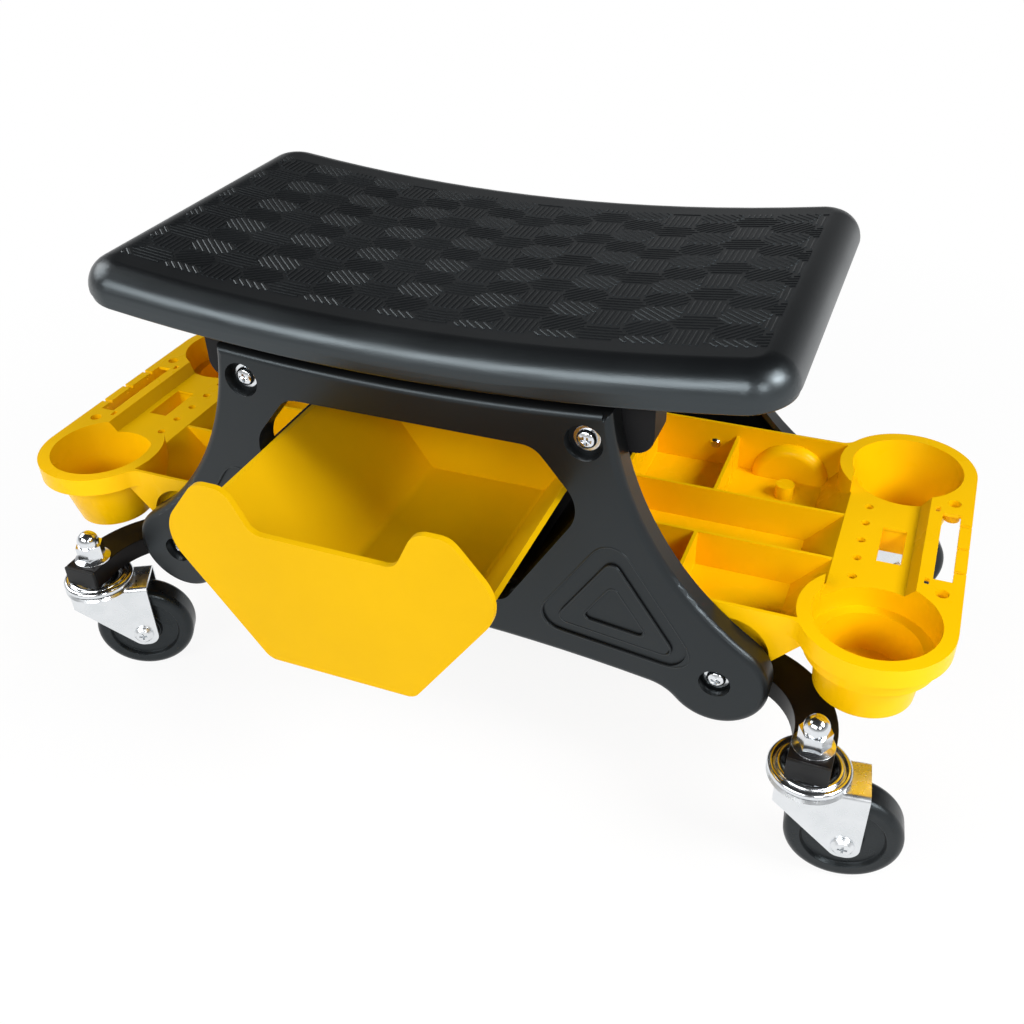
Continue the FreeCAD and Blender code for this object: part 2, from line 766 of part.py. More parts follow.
def chassis():
    outer = tube_band("tube_outer", "tube_width / 2", "tube_low", "tube_height", "tube_end")
    bore = tube_band("tube_bore", "tube_width / 2 - tube_wall", "tube_low + tube_wall",
                     "tube_height - 2 * tube_wall", "tube_end + overrun")
    holes = [
        cylinder(f"stem_hole_{side}", "stem_radius + seat_clearance", "tube_height + 2 * overrun",
                 f"{side} * caster_x", "-caster_y", "tube_low - overrun")
        for side in (-1, 1)
    ]
    tube = cut("tube_whole", outer, [bore] + holes)
    half_turn = FreeCAD.Placement(V(), FreeCAD.Rotation(V(0, 0, 1), 180))
    copies("chassis_tube_front", tube, [FreeCAD.Placement()])
    copies("chassis_tube_rear", tube, [half_turn])

    half = "tube_width / 2"
    cap = box("plug_cap_plate", (f"-({half})", "-plug_cap", "tube_low"),
              (half, "0", "tube_low + tube_height"))
    slack = "tube_wall + seat_clearance"
    stub = box("plug_stub", (f"-({half}) + {slack}", "0", f"tube_low + {slack}"),
               (f"{half} - ({slack})", "plug_depth", f"tube_low + tube_height - ({slack})"))
    plug = fuse("tube_plug", [cap, stub])
    places = [
        FreeCAD.Placement(V(side * size("caster_x"), -size("tube_end"), 0), FreeCAD.Rotation())
        for side in (-1, 1)
    ]
    copies("tube_plugs", plug, places + [half_turn.multiply(place) for place in places])

    radius = "lower_bolt_z - tube_low - tube_height"
    length = "2 * (panel_face - panel_thickness - hub_length)"
    reach = "panel_face - panel_thickness - hub_length"
    for side, name in ((-1, "left"), (1, "right")):
        x = f"{side} * lower_bolt_x"
        skin = cylinder(f"cross_skin_{name}", radius, length, x, f"-({reach})", "lower_bolt_z", "Y")
        core = cylinder(f"cross_core_{name}", f"{radius} - cross_wall", f"{length} + 2 * overrun",
                        x, f"-({reach}) - overrun", "lower_bolt_z", "Y")
        node(f"cross_tube_{name}", cut(f"cross_{name}", skin, [core]))
    insert = revolved("insert", [
        ("bolt_shank + running", "0"),
        (f"{radius} - cross_wall - running", "0"),
        (f"{radius} - cross_wall - running", "insert_length"),
        ("bolt_shank + running", "insert_length"),
    ])
    copies("cross_tube_inserts", insert, mirrored_y(size("lower_bolt_x"), size(reach), size("lower_bolt_z")))

    inner = "panel_face - panel_thickness"
    drum = cylinder("hub_drum", "hub_radius", "hub_length", "lower_bolt_x", f"-({inner})", "lower_bolt_z", "Y")
    crown = box("hub_under_tray",
                ("lower_bolt_x - lobe_radius", f"-({inner}) + {HUB_CROWN}", f"{TRAY_BOTTOM} - hump_gap"),
                ("lower_bolt_x + lobe_radius", f"-({inner}) + hub_length + overrun", "lower_bolt_z + lobe_radius"))
    gap = "hub_bore_slack"
    turned = "lower_bolt_x + hub_radius - caster_x + bend_radius"
    near = f"-tube_y - bend_radius + sqrt((bend_radius - tube_width / 2)^2 - ({turned})^2) - {gap}"
    notch = box("hub_notch", ("0", near, f"tube_low - {gap}"),
                ("caster_x", f"-tube_y + tube_width / 2 + {gap}", f"tube_low + tube_height + {gap}"))
    shaft = cylinder("hub_shaft", "bolt_shank + seat_clearance", "hub_length + 2 * overrun", "lower_bolt_x",
                     f"-({inner}) - overrun", "lower_bolt_z", "Y")
    hub = cut("leg_hub", drum, [crown, notch, shaft])
    mirror = [FreeCAD.Placement(V(-2 * size("lower_bolt_x"), 0, 0), FreeCAD.Rotation()), FreeCAD.Placement()]
    copies("leg_hubs", hub, mirror + [half_turn.multiply(place) for place in mirror])


# Casters: each prototype has its swivel axis on Z and its wheel trailing towards +X

def fork_prototype():
    half = "fork_gap / 2 + fork_sheet"
    back = "trail + fork_foot"
    legs = padded("fork_legs", "XZ_Plane", [
        ("-fork_front", "fork_top"),
        ("-fork_front", "fork_top - fork_shoulder"),
        ("trail - foot_front", "wheel_radius - fork_foot"),
        (back, "wheel_radius - fork_foot"),
        (back, "fork_top"),
    ], f"-({half})", f"2 * ({half})")
    rounded(legs, "fork_foot_round", across_at("wheel_radius - fork_foot"))
    rounded(legs, "fork_bend", across_at("fork_top", V(1, 0, 0)))
    head = revolved("fork_head", [
        ("0", "fork_top - fork_sheet"),
        ("head_radius - head_height", "fork_top - head_height"),
        ("head_radius", "fork_top - head_height / 2"),
        ("head_radius - head_height / 3", "fork_top"),
        ("0", "fork_top"),
    ])
    whole = fuse("fork_blank", [legs, head])
    gap = box("fork_slot", ("-wheel_radius", "-fork_gap / 2", "0"),
              ("trail + wheel_radius", "fork_gap / 2", "fork_top - fork_sheet"))
    bore = cylinder("fork_bore", "stem_radius + running", "fork_top", "0", "0", "overrun")
    axle = cylinder("fork_axle_hole", "axle_radius + running", "2 * wheel_radius", "trail", "-wheel_radius",
                    "wheel_radius", "Y")
    return cut("fork", whole, [gap, bore, axle])


def wheel_prototype():
    half = "wheel_width / 2"
    bore = "bush_radius + running"
    outline = [
        (bore, f"-({half})"),
        ("wheel_dish_inner", f"-({half})"),
        ("wheel_dish_inner + wheel_dish / 2", f"-({half}) + wheel_dish"),
        ("wheel_dish_outer - wheel_dish / 2", f"-({half}) + wheel_dish"),
        ("wheel_dish_outer", f"-({half})"),
        ("wheel_radius - wheel_round", f"-({half})", "wheel_round", 1),
        ("wheel_radius", f"-({half}) + wheel_round"),
        ("wheel_radius", f"{half} - wheel_round", "wheel_round", 1),
        ("wheel_radius - wheel_round", half),
        ("wheel_dish_outer", half),
        ("wheel_dish_outer - wheel_dish / 2", f"{half} - wheel_dish"),
        ("wheel_dish_inner + wheel_dish / 2", f"{half} - wheel_dish"),
        ("wheel_dish_inner", half),
        (bore, half),
    ]
    return revolved("wheel", outline)


def axle_prototypes():
    """Axle bolt, its nut and the bush that the wheel turns on, all about Z from the wheel's middle."""
    half = "fork_gap / 2"
    seat_at = f"{half} + fork_sheet"
    bolt = revolved("axle_bolt", [
        ("0", f"-({seat_at}) - axle_cap"),
        ("axle_head * screw_crown_share", f"-({seat_at}) - axle_cap"),
        ("axle_head", f"-({seat_at}) - axle_cap * screw_edge_share"),
        ("axle_head", f"-({seat_at})"),
        ("axle_radius", f"-({seat_at})"),
        ("axle_radius", f"{seat_at} + axle_nut_height"),
        ("0", f"{seat_at} + axle_nut_height"),
    ])
    prism = doc.addObject("Part::Prism", "axle_nut_prism")
    prism.Polygon = 6
    bind(prism, {"Circumradius": "axle_nut_corner", "Height": "axle_nut_height * axle_nut_share"})
    at(prism, "0", "0", seat_at)
    hole = cylinder("axle_nut_hole", "axle_radius + running", "2 * axle_nut_height", "0", "0", half)
    nut = cut("axle_nut", prism, [hole])
    bush = revolved("wheel_bush", [
        ("axle_radius + running", f"-({half})"),
        ("bush_radius", f"-({half})"),
        ("bush_radius", half),
        ("axle_radius + running", half),
    ])
    return {"axle_bolt": bolt, "axle_nut": nut, "wheel_bush": bush}


def fixed_caster_prototypes():
    """Stem, race cap and dome nut that stay with the chassis."""
    top = "tube_low + tube_height"
    stem = revolved("stem", [
        ("0", "fork_top - fork_sheet - race_gap - stem_flange_height"),
        ("stem_flange", "fork_top - fork_sheet - race_gap - stem_flange_height"),
        ("stem_flange", "fork_top - fork_sheet - race_gap"),
        ("stem_radius", "fork_top - fork_sheet - race_gap"),
        ("stem_radius", "fork_top + race_gap + cap_web"),
        ("stem_collar", "fork_top + race_gap + cap_web"),
        ("stem_collar", "tube_low"),
        ("stem_radius", "tube_low"),
        ("stem_radius", f"{top} + nut_flange_height + nut_hex_height"),
        ("0", f"{top} + nut_flange_height + nut_hex_height"),
    ])
    low = "fork_top + race_gap"
    cap = revolved("race_cap", [
        ("stem_radius + running", low),
        ("cap_radius - cap_web", low),
        ("cap_radius", f"{low} + cap_web"),
        ("cap_radius - cap_web", f"{low} + cap_height"),
        ("cap_inner + cap_web", f"{low} + cap_height"),
        ("cap_inner", f"{low} + cap_web"),
        ("stem_radius + running", f"{low} + cap_web"),
    ])
    prism = doc.addObject("Part::Prism", "dome_nut_prism")
    prism.Polygon = 6
    bind(prism, {"Circumradius": "nut_corner", "Height": "nut_flange_height + nut_hex_height"})
    at(prism, "0", "0", top)
    flange = revolved("dome_nut_flange", [
        ("0", top),
        ("nut_flange", top),
        ("nut_flange", f"{top} + nut_flange_height * flange_edge_share"),
        ("nut_corner * flange_top_share", f"{top} + nut_flange_height"),
        ("0", f"{top} + nut_flange_height"),
    ])
    crown = f"{top} + nut_flange_height + nut_hex_height"
    dome = revolved("dome_nut_dome", [
        ("0", crown),
        ("nut_dome", crown),
        ("nut_dome", f"{crown} + nut_dome * dome_straight_share", "nut_dome", 1),
        ("0", f"{crown} + nut_dome * (1 + dome_straight_share)"),
    ])
    blank = fuse("dome_nut_blank", [prism, flange, dome])
    bore = cylinder("dome_nut_bore", "stem_radius + running", f"({crown}) - ({top})", "0", "0", top)
    return {"caster_stems": stem, "race_caps": cap, "dome_nuts": cut("dome_nut", blank, [bore])}


def casters():
    turning = {"fork": fork_prototype()}
    spinning = {"wheel": wheel_prototype()}
    spinning.update(axle_prototypes())
    to_axle = FreeCAD.Placement(V(size("trail"), 0, size("wheel_radius")), TURNS["Y"])
    spots = {
        name: V(sign_x * size("caster_x"), sign_y * size("caster_y"), 0)
        for name, (sign_x, sign_y) in CORNERS.items()
    }
    for label, item in fixed_caster_prototypes().items():
        copies(label, item, [FreeCAD.Placement(spot, FreeCAD.Rotation()) for spot in spots.values()])
    for name, spot in spots.items():
        swivel = FreeCAD.Placement(spot, FreeCAD.Rotation(V(0, 0, 1), HEADINGS[name]))
        for label, item in turning.items():
            copies(f"{label}_{name}", item, [swivel])
        for label, item in spinning.items():
            copies(f"{label}_{name}", item, [swivel.multiply(to_axle)])


# Drawer

def drawer():
    plate = padded("drawer_front", "XZ_Plane", [
        ("-drawer_low_half", "drawer_low"),
        ("drawer_low_half", "drawer_low"),
        ("drawer_wide_half", "drawer_wide"),
        ("drawer_ear_outer", "drawer_ear"),
        ("drawer_ear_inner", "drawer_ear"),
        ("drawer_scoop_half", "drawer_scoop"),
        ("-drawer_scoop_half", "drawer_scoop"),
        ("-drawer_ear_inner", "drawer_ear"),
        ("-drawer_ear_outer", "drawer_ear"),
        ("-drawer_wide_half", "drawer_wide"),
    ], "drawer_face - drawer_plate", "drawer_plate")
    rounded(plate, "wide_round", across_at("drawer_wide"))
    rounded(plate, "ear_round", across_at("drawer_ear"))
    rounded(plate, "drawer_round", across_at("drawer_scoop"))
    rounded(plate, "drawer_round", across_at("drawer_low"))
    bin_body = padded("drawer_box", "XZ_Plane", [
        ("-bin_low_half", "drawer_low"),
        ("bin_low_half", "drawer_low"),
        ("bin_wide_half", "bin_top"),
        ("-bin_wide_half", "bin_top"),
    ], "drawer_back", "drawer_face - drawer_back - drawer_plate / 2")
    rounded(bin_body, "bin_crease + drawer_wall", across_at("drawer_low"))
    spread = "(bin_wide_half - bin_low_half) / (bin_top - drawer_low)"
    slant = f"drawer_wall * sqrt(1 + ({spread})^2)"
    inside_low = f"bin_low_half - {slant} + drawer_wall * {spread}"
    inside_top = f"bin_wide_half - {slant} + overrun * {spread}"
    core = padded("drawer_core", "XZ_Plane", [
        (f"-({inside_low})", "drawer_low + drawer_wall"),
        (inside_low, "drawer_low + drawer_wall"),
        (inside_top, "bin_top + overrun"),
        (f"-({inside_top})", "bin_top + overrun"),
    ], "drawer_back + drawer_wall", "drawer_face - drawer_back - drawer_wall - drawer_plate")
    rounded(core, "bin_crease", across_at("drawer_low + drawer_wall"))
    shell = cut("drawer_shell", bin_body, [core])
    node("drawer", fuse("drawer_whole", [plate, shell]))
    drawer_sleeve()


def drawer_sleeve():
    """Runners below the drawer and upright guides that follow the opening's sides."""
    slope = "((open_wide_half - open_low_half) / (open_wide - open_low))"
    top = "drawer_low - seat_clearance"
    inside = "panel_face - panel_thickness - seat_clearance"
    low = f"open_low_half + guide_gap + {slope} * ({top} - open_low)"
    high = f"{low} + {slope} * guide_rise"
    for side, name in ((-1, "left"), (1, "right")):
        through = box(f"runner_through_{name}",
                      (f"{side} * runner_x - runner_width / 2", "-panel_face + runner_inset", "open_low"),
                      (f"{side} * runner_x + runner_width / 2", "panel_face - runner_inset", top))
        ends = (f"{side} * runner_x", f"{side} * ({low} + guide_wall)")
        first, last = ends if side > 0 else ends[::-1]
        shelf = box(f"runner_shelf_{name}", (first, f"-({inside})", "open_low"), (last, inside, top))
        node(f"drawer_runner_{name}", fuse(f"runner_{name}", [through, shelf]))
        outline = [
            (f"{side} * ({low})", top),
            (f"{side} * ({low} + guide_wall)", top),
            (f"{side} * ({high} + guide_wall)", f"{top} + guide_rise"),
            (f"{side} * ({high})", f"{top} + guide_rise"),
        ]
        node(f"drawer_guide_{name}", padded(f"guide_{name}", "XZ_Plane", outline[::side],
                                            f"-({inside})", f"2 * ({inside})"))


# Trays: the right tray is drawn, and the left one is the same moulding turned round

TRAY_BOTTOM = "(2 * lower_bolt_z - tube_low - tube_height + seat_clearance)"
TRAY_FLOOR = f"({TRAY_BOTTOM} + tray_wall)"
TRAY_HALF = "(panel_face - panel_thickness - tray_gap)"
TRAY_SCREW_Z = f"(({TRAY_FLOOR} + tray_rim) / 2)"
DECK = "(tray_rim - deck_drop)"
DIVIDER_TOP = "(tray_rim - divider_drop)"
CUP_X = "(tray_end - cup_rim)"
CUP_LEDGE = "(tray_rim - ledge_drop)"
CUP_FLOOR = "(tube_low + tube_height + cup_gap)"
HUB_CROWN = "(tray_gap + hump_depth - tray_wall - hump_gap)"
HOLE_STEPS = (-2, -1, 0, 1, 2)
SLIT_STEPS = (-1, 0, 1)


def cup_columns(name, radius, low, high):
    """An upright cylinder on each cup's axis."""
    return [
        cylinder(f"{name}_{side}", radius, f"({high}) - ({low})", CUP_X, f"{side} * cup_y", low)
        for side in (-1, 1)
    ]


def rim_outline():
    """The outer end seen from above: deck edge, two cup rims and the end between them."""
    dip = f"sqrt(cup_rim^2 - ({CUP_X} - deck_start)^2)"
    return [
        (CUP_X, "-cup_y - cup_rim", "cup_rim", 1),
        ("tray_end", "-cup_y"),
        ("tray_end", "cup_y", "cup_rim", 1),
        (CUP_X, "cup_y + cup_rim", "cup_rim", 1),
        (f"{CUP_X} - cup_rim", "cup_y", "cup_rim", 1),
        ("deck_start", f"cup_y - {dip}"),
        ("deck_start", f"-cup_y + {dip}", "cup_rim", 1),
        (f"{CUP_X} - cup_rim", "-cup_y", "cup_rim", 1),
    ]


def neck_blend(side):
    """The hollow curve between the neck's wall and a cup's rim."""
    rise = f"({TRAY_HALF} + neck_blend - cup_y)"
    run = f"sqrt((cup_rim + neck_blend)^2 - {rise}^2)"
    rim_part = "(cup_rim / (cup_rim + neck_blend))"
    return padded(f"neck_blend_{side}", "XY_Plane", [
        (f"{CUP_X} - {run}", f"{side} * {TRAY_HALF}", "neck_blend", side),
        (f"{CUP_X} - {run} * {rim_part}", f"{side} * (cup_y + {rise} * {rim_part})"),
        (CUP_X, f"{side} * cup_y"),
        (f"{CUP_X} - {run}", f"{side} * cup_y"),
    ], "tray_rim - tray_lip", "tray_lip")


def tray_blank():
    """The tray before its hollows: neck, outer end and the outsides of the cups."""
    neck = padded("tray_neck", "XZ_Plane", [
        ("tray_inner", TRAY_BOTTOM),
        ("ramp_start + tray_wall / 2", TRAY_BOTTOM),
        ("deck_start + tray_wall", f"{DECK} - tray_wall"),
        ("deck_start + tray_wall", "tray_rim"),
        ("tray_inner", "tray_rim"),
    ], f"-{TRAY_HALF}", f"2 * {TRAY_HALF}")
    end = padded("tray_rims", "XY_Plane", rim_outline(), "tray_rim - tray_lip", "tray_lip")
    stepped = [
        cylinder("step_collar", "cup_bore + tray_wall", f"tray_rim - {CUP_LEDGE} + tray_wall",
                 CUP_X, "-cup_y", f"{CUP_LEDGE} - tray_wall"),
        cone("step_bucket", "cup_low_bore", "cup_low_bore + tray_wall", f"{CUP_LEDGE} - {CUP_FLOOR} + tray_wall",
             CUP_X, "-cup_y", f"{CUP_FLOOR} - tray_wall"),
    ]
    tapered = cone("taper_bucket", "cup_floor_bore + tray_wall", "cup_bore + tray_wall",
                   f"tray_rim - {CUP_FLOOR} + tray_wall", CUP_X, "cup_y", f"{CUP_FLOOR} - tray_wall")
    return fuse("tray_blank", [neck, end, tapered, neck_blend(-1), neck_blend(1)] + stepped)


def hump(name, side, inset, start):
    """A rounded hump over a leg hub in an outer lane, drawn in by an inset."""
    radius = f"(hump_radius - {inset})"
    depth = f"(hump_depth - {inset})"
    edge = f"(hump_round - {inset})"
    body = revolved(f"{name}_{side}", [
        ("0", start),
        (radius, start),
        (radius, f"{depth} - {edge}", edge, 1),
        (f"{radius} - {edge}", depth),
        ("0", depth),
    ])
    return at(body, "lower_bolt_x + hump_shift", f"{side} * {TRAY_HALF}", "lower_bolt_z + hump_lift",
              "Y" if side < 0 else "-Y")


def tray_lanes():
    """The open space of the three lanes, with the cups, humps and rising floors left standing."""
    wall = f"{TRAY_HALF} - tray_wall"
    start = "tray_inner + tray_wall"
    half = "tray_wall / 2"
    spaces = [
        box("lanes_open", (start, f"-({wall})", DIVIDER_TOP), ("deck_start", wall, "tray_rim + overrun")),
        box("lane_middle", (start, f"-divider_y + {half}", TRAY_FLOOR),
            ("deck_start", f"divider_y - {half}", "tray_rim")),
    ]
    cells = ((start, f"cross_divider_x - {half}"), (f"cross_divider_x + {half}", "deck_start"))
    for side in (-1, 1):
        near, far = f"divider_y + {half}", wall
        low, high = (near, far) if side > 0 else (f"-({far})", f"-({near})")
        for index, (first, last) in enumerate(cells):
            spaces.append(box(f"lane_{side}_{index}", (first, low, TRAY_FLOOR), (last, high, "tray_rim")))
    ramp = padded("lane_ramp", "XZ_Plane", [
        ("ramp_start", TRAY_FLOOR),
        ("deck_start", TRAY_FLOOR),
        ("deck_start", DECK),
    ], f"-{TRAY_HALF}", f"2 * {TRAY_HALF}")
    keeps = cup_columns("lane_cup", "cup_rim", TRAY_BOTTOM, "tray_rim + 2 * overrun")
    keeps += [ramp] + [hump("hump", side, "0", "0") for side in (-1, 1)]
    return cut("lanes", fuse("lane_spaces", spaces), keeps)


def tray_undersides():
    """The open undersides of the deck and the end strip, with the cups left standing."""
    low = "tray_rim - tray_lip - overrun"
    deck = box("deck_under", ("deck_start + tray_wall", "-cup_y", low),
               ("deck_end", "cup_y", f"{DECK} - tray_wall"))
    strip = box("strip_under", ("deck_end + deck_slope + tray_wall", "-cup_y", low),
                ("tray_end - tray_wall", "cup_y", "tray_rim - tray_wall"))
    cups = cup_columns("under_cup", "cup_rim", f"{CUP_FLOOR} - 2 * tray_wall", "tray_rim")
    return cut("undersides", fuse("under_spaces", [deck, strip]), cups)


def tray_holes():
    """Cup bores, tool holes, slots and the arches over the leg hubs."""
    top = "tray_rim + overrun"
    low = "tray_rim - tray_lip - overrun"
    cuts = [
        padded("deck_recess", "XZ_Plane", [
            ("deck_start - overrun", DECK),
            ("deck_end", DECK),
            ("deck_end + deck_slope", "tray_rim"),
            ("deck_end + deck_slope", top),
            ("deck_start - overrun", top),
        ], "-cup_y", "2 * cup_y"),
        cylinder("step_bore", "cup_bore", f"({top}) - {CUP_LEDGE}", CUP_X, "-cup_y", CUP_LEDGE),
        cone("step_low_bore", "cup_low_bore - tray_wall", "cup_low_bore", f"{CUP_LEDGE} - {CUP_FLOOR} + overrun",
             CUP_X, "-cup_y", CUP_FLOOR),
        cone("taper_bore", "cup_floor_bore", "cup_bore", f"({top}) - {CUP_FLOOR}", CUP_X, "cup_y", CUP_FLOOR),
        box("deck_pocket", ("pocket_x - pocket_length / 2", "-pocket_width / 2", low),
            ("pocket_x + pocket_length / 2", "pocket_width / 2", top)),
        box("end_slot", ("slot_x - slot_length / 2", "-slot_width / 2", low),
            ("slot_x + slot_length / 2", "slot_width / 2", top)),
    ]
    for step in HOLE_STEPS:
        cuts.append(cylinder(f"tool_hole_{step}", "hole_radius", f"({top}) - ({low})",
                             "hole_x", f"{step} * hole_pitch", low))
    for step in SLIT_STEPS:
        middle = f"{step} * slit_pitch"
        cuts.append(box(f"end_slit_{step}",
                        ("slot_x", f"{middle} - slit_width / 2", "tray_rim - tray_lip / 2"),
                        ("tray_end + overrun", f"{middle} + slit_width / 2", top)))
    for side in (-1, 1):
        cuts.append(cylinder(f"end_hole_{side}", "end_hole_radius", f"({top}) - ({low})",
                             "end_hole_x", f"{side} * end_hole_y", low))
        middle = f"{side} * tiny_slot_y"
        cuts.append(box(f"tiny_slot_{side}",
                        ("tiny_slot_x - tiny_slot_length / 2", f"{middle} - tiny_slot_width / 2", low),
                        ("tiny_slot_x + tiny_slot_length / 2", f"{middle} + tiny_slot_width / 2", top)))
        inward = "Y" if side < 0 else "-Y"
        cuts.append(hump("hub_arch", side, "tray_wall", "-overrun"))
        cuts.append(cylinder(f"screw_hole_{side}", "tray_screw_shank + seat_clearance",
                             "2 * tray_wall + overrun", "tray_screw_x", f"{side} * ({TRAY_HALF} + overrun)",
                             TRAY_SCREW_Z, inward))
    return cuts


def trays():
    peg = cylinder("tray_peg", "peg_radius", "peg_height + tray_wall", "peg_x", "peg_y", TRAY_BOTTOM)
    carved = cut("tray_carved", tray_blank(), [tray_lanes(), tray_undersides()])
    moulding = fuse("tray_moulding", [cut("tray_drilled", carved, tray_holes()), peg])
    half_turn = FreeCAD.Placement(V(), FreeCAD.Rotation(V(0, 0, 1), 180))
    copies("tray_right", moulding, [FreeCAD.Placement()])
    copies("tray_left", moulding, [half_turn])
    screw = revolved("tray_screw", [
        ("0", "-tray_screw_cap"),
        ("tray_screw_head * screw_crown_share", "-tray_screw_cap"),
        ("tray_screw_head", "-tray_screw_cap * screw_edge_share"),
        ("tray_screw_head", "0"),
        ("tray_screw_shank", "0"),
        ("tray_screw_shank", "tray_screw_reach * screw_reach_share"),
        ("0", "tray_screw_reach * screw_reach_share"),
    ])
    seat_y = size(f"{TRAY_HALF} - tray_wall")
    copies("tray_screws", screw, [
        FreeCAD.Placement(V(sign_x * size("tray_screw_x"), sign_y * seat_y, size(TRAY_SCREW_Z)),
                          TURNS["Y" if sign_y > 0 else "-Y"])
        for sign_x in (-1, 1) for sign_y in (-1, 1)
    ])


seat()
panel()
panel_bolts()
chassis()
casters()
drawer()
trays()

doc.recompute()
for item in doc.Objects:
    if "Invalid" in item.State or "Error" in item.State:
        raise RuntimeError(f"{item.Name} failed: {item.State}")
for item in nodes:
    if item.Shape.isNull() or not item.Shape.isValid():
        raise RuntimeError(f"{item.Label} has no valid shape")
os.makedirs("parts", exist_ok=True)
for item in nodes:
    item.Shape.exportStep(f"parts/{item.Label}.step")
    print(item.Label, len(item.Shape.Solids), round(item.Shape.Volume))
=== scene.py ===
"""Looks of the rolling workshop seat: moulded seat, side panels, trays, drawer and casters."""
import math

import bpy
from mathutils import Matrix, Vector


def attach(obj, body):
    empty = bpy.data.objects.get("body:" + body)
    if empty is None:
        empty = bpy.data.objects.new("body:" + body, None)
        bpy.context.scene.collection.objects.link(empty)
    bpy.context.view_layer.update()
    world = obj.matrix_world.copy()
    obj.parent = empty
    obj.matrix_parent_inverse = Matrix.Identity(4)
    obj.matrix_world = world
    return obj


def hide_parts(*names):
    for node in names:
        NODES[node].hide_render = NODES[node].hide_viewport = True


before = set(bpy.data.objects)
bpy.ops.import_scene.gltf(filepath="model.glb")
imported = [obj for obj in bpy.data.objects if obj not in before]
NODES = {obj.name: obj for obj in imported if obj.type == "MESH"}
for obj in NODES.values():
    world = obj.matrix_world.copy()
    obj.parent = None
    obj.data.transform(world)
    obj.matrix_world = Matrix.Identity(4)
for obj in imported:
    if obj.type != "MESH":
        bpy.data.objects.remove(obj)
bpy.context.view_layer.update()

MM = 0.001
FRAME_BODY = "frame"

# Where each caster's stem stands, in millimetres, and the heading of its wheel in degrees
CASTERS = {
    "front_right": ((276.5, -148), 6.9),
    "front_left": ((-276.5, -148), 28.1),
    "rear_right": ((276.5, 148), 17),
    "rear_left": ((-276.5, 148), -12),
}


# Selection and finishing

def deselect():
    if bpy.context.mode != "OBJECT":
        bpy.ops.object.mode_set(mode="OBJECT")
    bpy.ops.object.select_all(action="DESELECT")


def activate(piece):
    deselect()
    piece.select_set(True)
    bpy.context.view_layer.objects.active = piece


def edit(piece):
    """Opens a piece in edit mode with nothing selected."""
    activate(piece)
    bpy.ops.object.mode_set(mode="EDIT")
    bpy.ops.mesh.select_all(action="DESELECT")


def choose(piece, kind, test):
    """Selects the faces or vertices of the piece in edit mode that pass the test."""
    bpy.ops.mesh.select_mode(type=kind)
    bpy.ops.mesh.select_all(action="DESELECT")
    bpy.ops.object.mode_set(mode="OBJECT")
    if kind == "FACE":
        for face in piece.data.polygons:
            face.select = test(face)
    else:
        for point in piece.data.vertices:
            point.select = test(point.co)
    bpy.ops.object.mode_set(mode="EDIT")


def settle(piece, angle=35):
    """Leaves edit mode with the place in the mesh, the normals outwards and smooth shading."""
    if bpy.context.mode != "EDIT_MESH":
        edit(piece)
    bpy.ops.mesh.select_all(action="SELECT")
    bpy.ops.mesh.remove_doubles(threshold=0.00001)
    bpy.ops.mesh.normals_make_consistent(inside=False)
    bpy.ops.object.mode_set(mode="OBJECT")
    activate(piece)
    bpy.ops.object.transform_apply(location=True, rotation=True, scale=True)
    bpy.ops.object.shade_smooth_by_angle(angle=math.radians(angle))
    return piece


def modify(piece, kind, **values):
    """Adds a modifier, sets it and applies it."""
    activate(piece)
    modifier = piece.modifiers.new(kind.lower(), kind)
    for name, value in values.items():
        setattr(modifier, name, value)
    bpy.ops.object.modifier_apply(modifier=modifier.name)


def paint(piece, finish):
    piece.data.materials.clear()
    piece.data.materials.append(finish)


def stand_for(piece, nodes, body, finish):
    """Paints a piece, hangs it under its body and hides the nodes it stands for."""
    paint(piece, finish)
    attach(piece, body)
    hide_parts(*nodes)


def add_trim(piece, finish):
    """Names where an added piece rides on the frame and what it is made of."""
    paint(piece, finish)
    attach(piece, FRAME_BODY)


def placed_copy(piece, name, place):
    """A copy of a finished piece with its own mesh, moved there in its mesh."""
    copy = piece.copy()
    copy.data = piece.data.copy()
    copy.name = name
    bpy.context.scene.collection.objects.link(copy)
    copy.data.transform(place)
    return copy


def joined(pieces, name):
    """Makes one object of the pieces, under this name."""
    activate(pieces[0])
    if len(pieces) > 1:
        for piece in pieces:
            piece.select_set(True)
        bpy.ops.object.join()
    pieces[0].name = name
    return pieces[0]


# Camera, light and floor

CAMERA_PLACE = (0.2965, -0.6503, 0.6217)
CAMERA_AZIMUTH = math.radians(23.341)
CAMERA_ELEVATION = math.radians(35.304)
CAMERA_ROLL = math.radians(-2.054)
CAMERA_LENS = 38.85
SENSOR_WIDTH = 36

LIGHT_TARGET = (0.02, -0.02, 0.2)
SOFTBOXES = [
    ("softbox_front", (-0.48, -1.68, 1.3), 1.7, 0.6, 27),
    ("softbox_corner", (1.25, -1.45, 1.15), 0.4, 0.4, 9),
    ("softbox_right", (1.7, -0.3, 1.5), 0.8, 0.8, 39),
    ("softbox_side", (-1.75, -0.05, 1.4), 1.3, 1.1, 18),
]
SKY_STRENGTH = 0.5
SKY_LOW = (0.12, (1.0, 1.0, 1.0, 1))
SKY_HIGH = (0.46, (0.06, 0.0615, 0.0635, 1))
FLOOR_SIZE = 60
FLOOR_GREY = (0.86, 0.86, 0.86, 1)
SHADOW_SHARE = 0.12


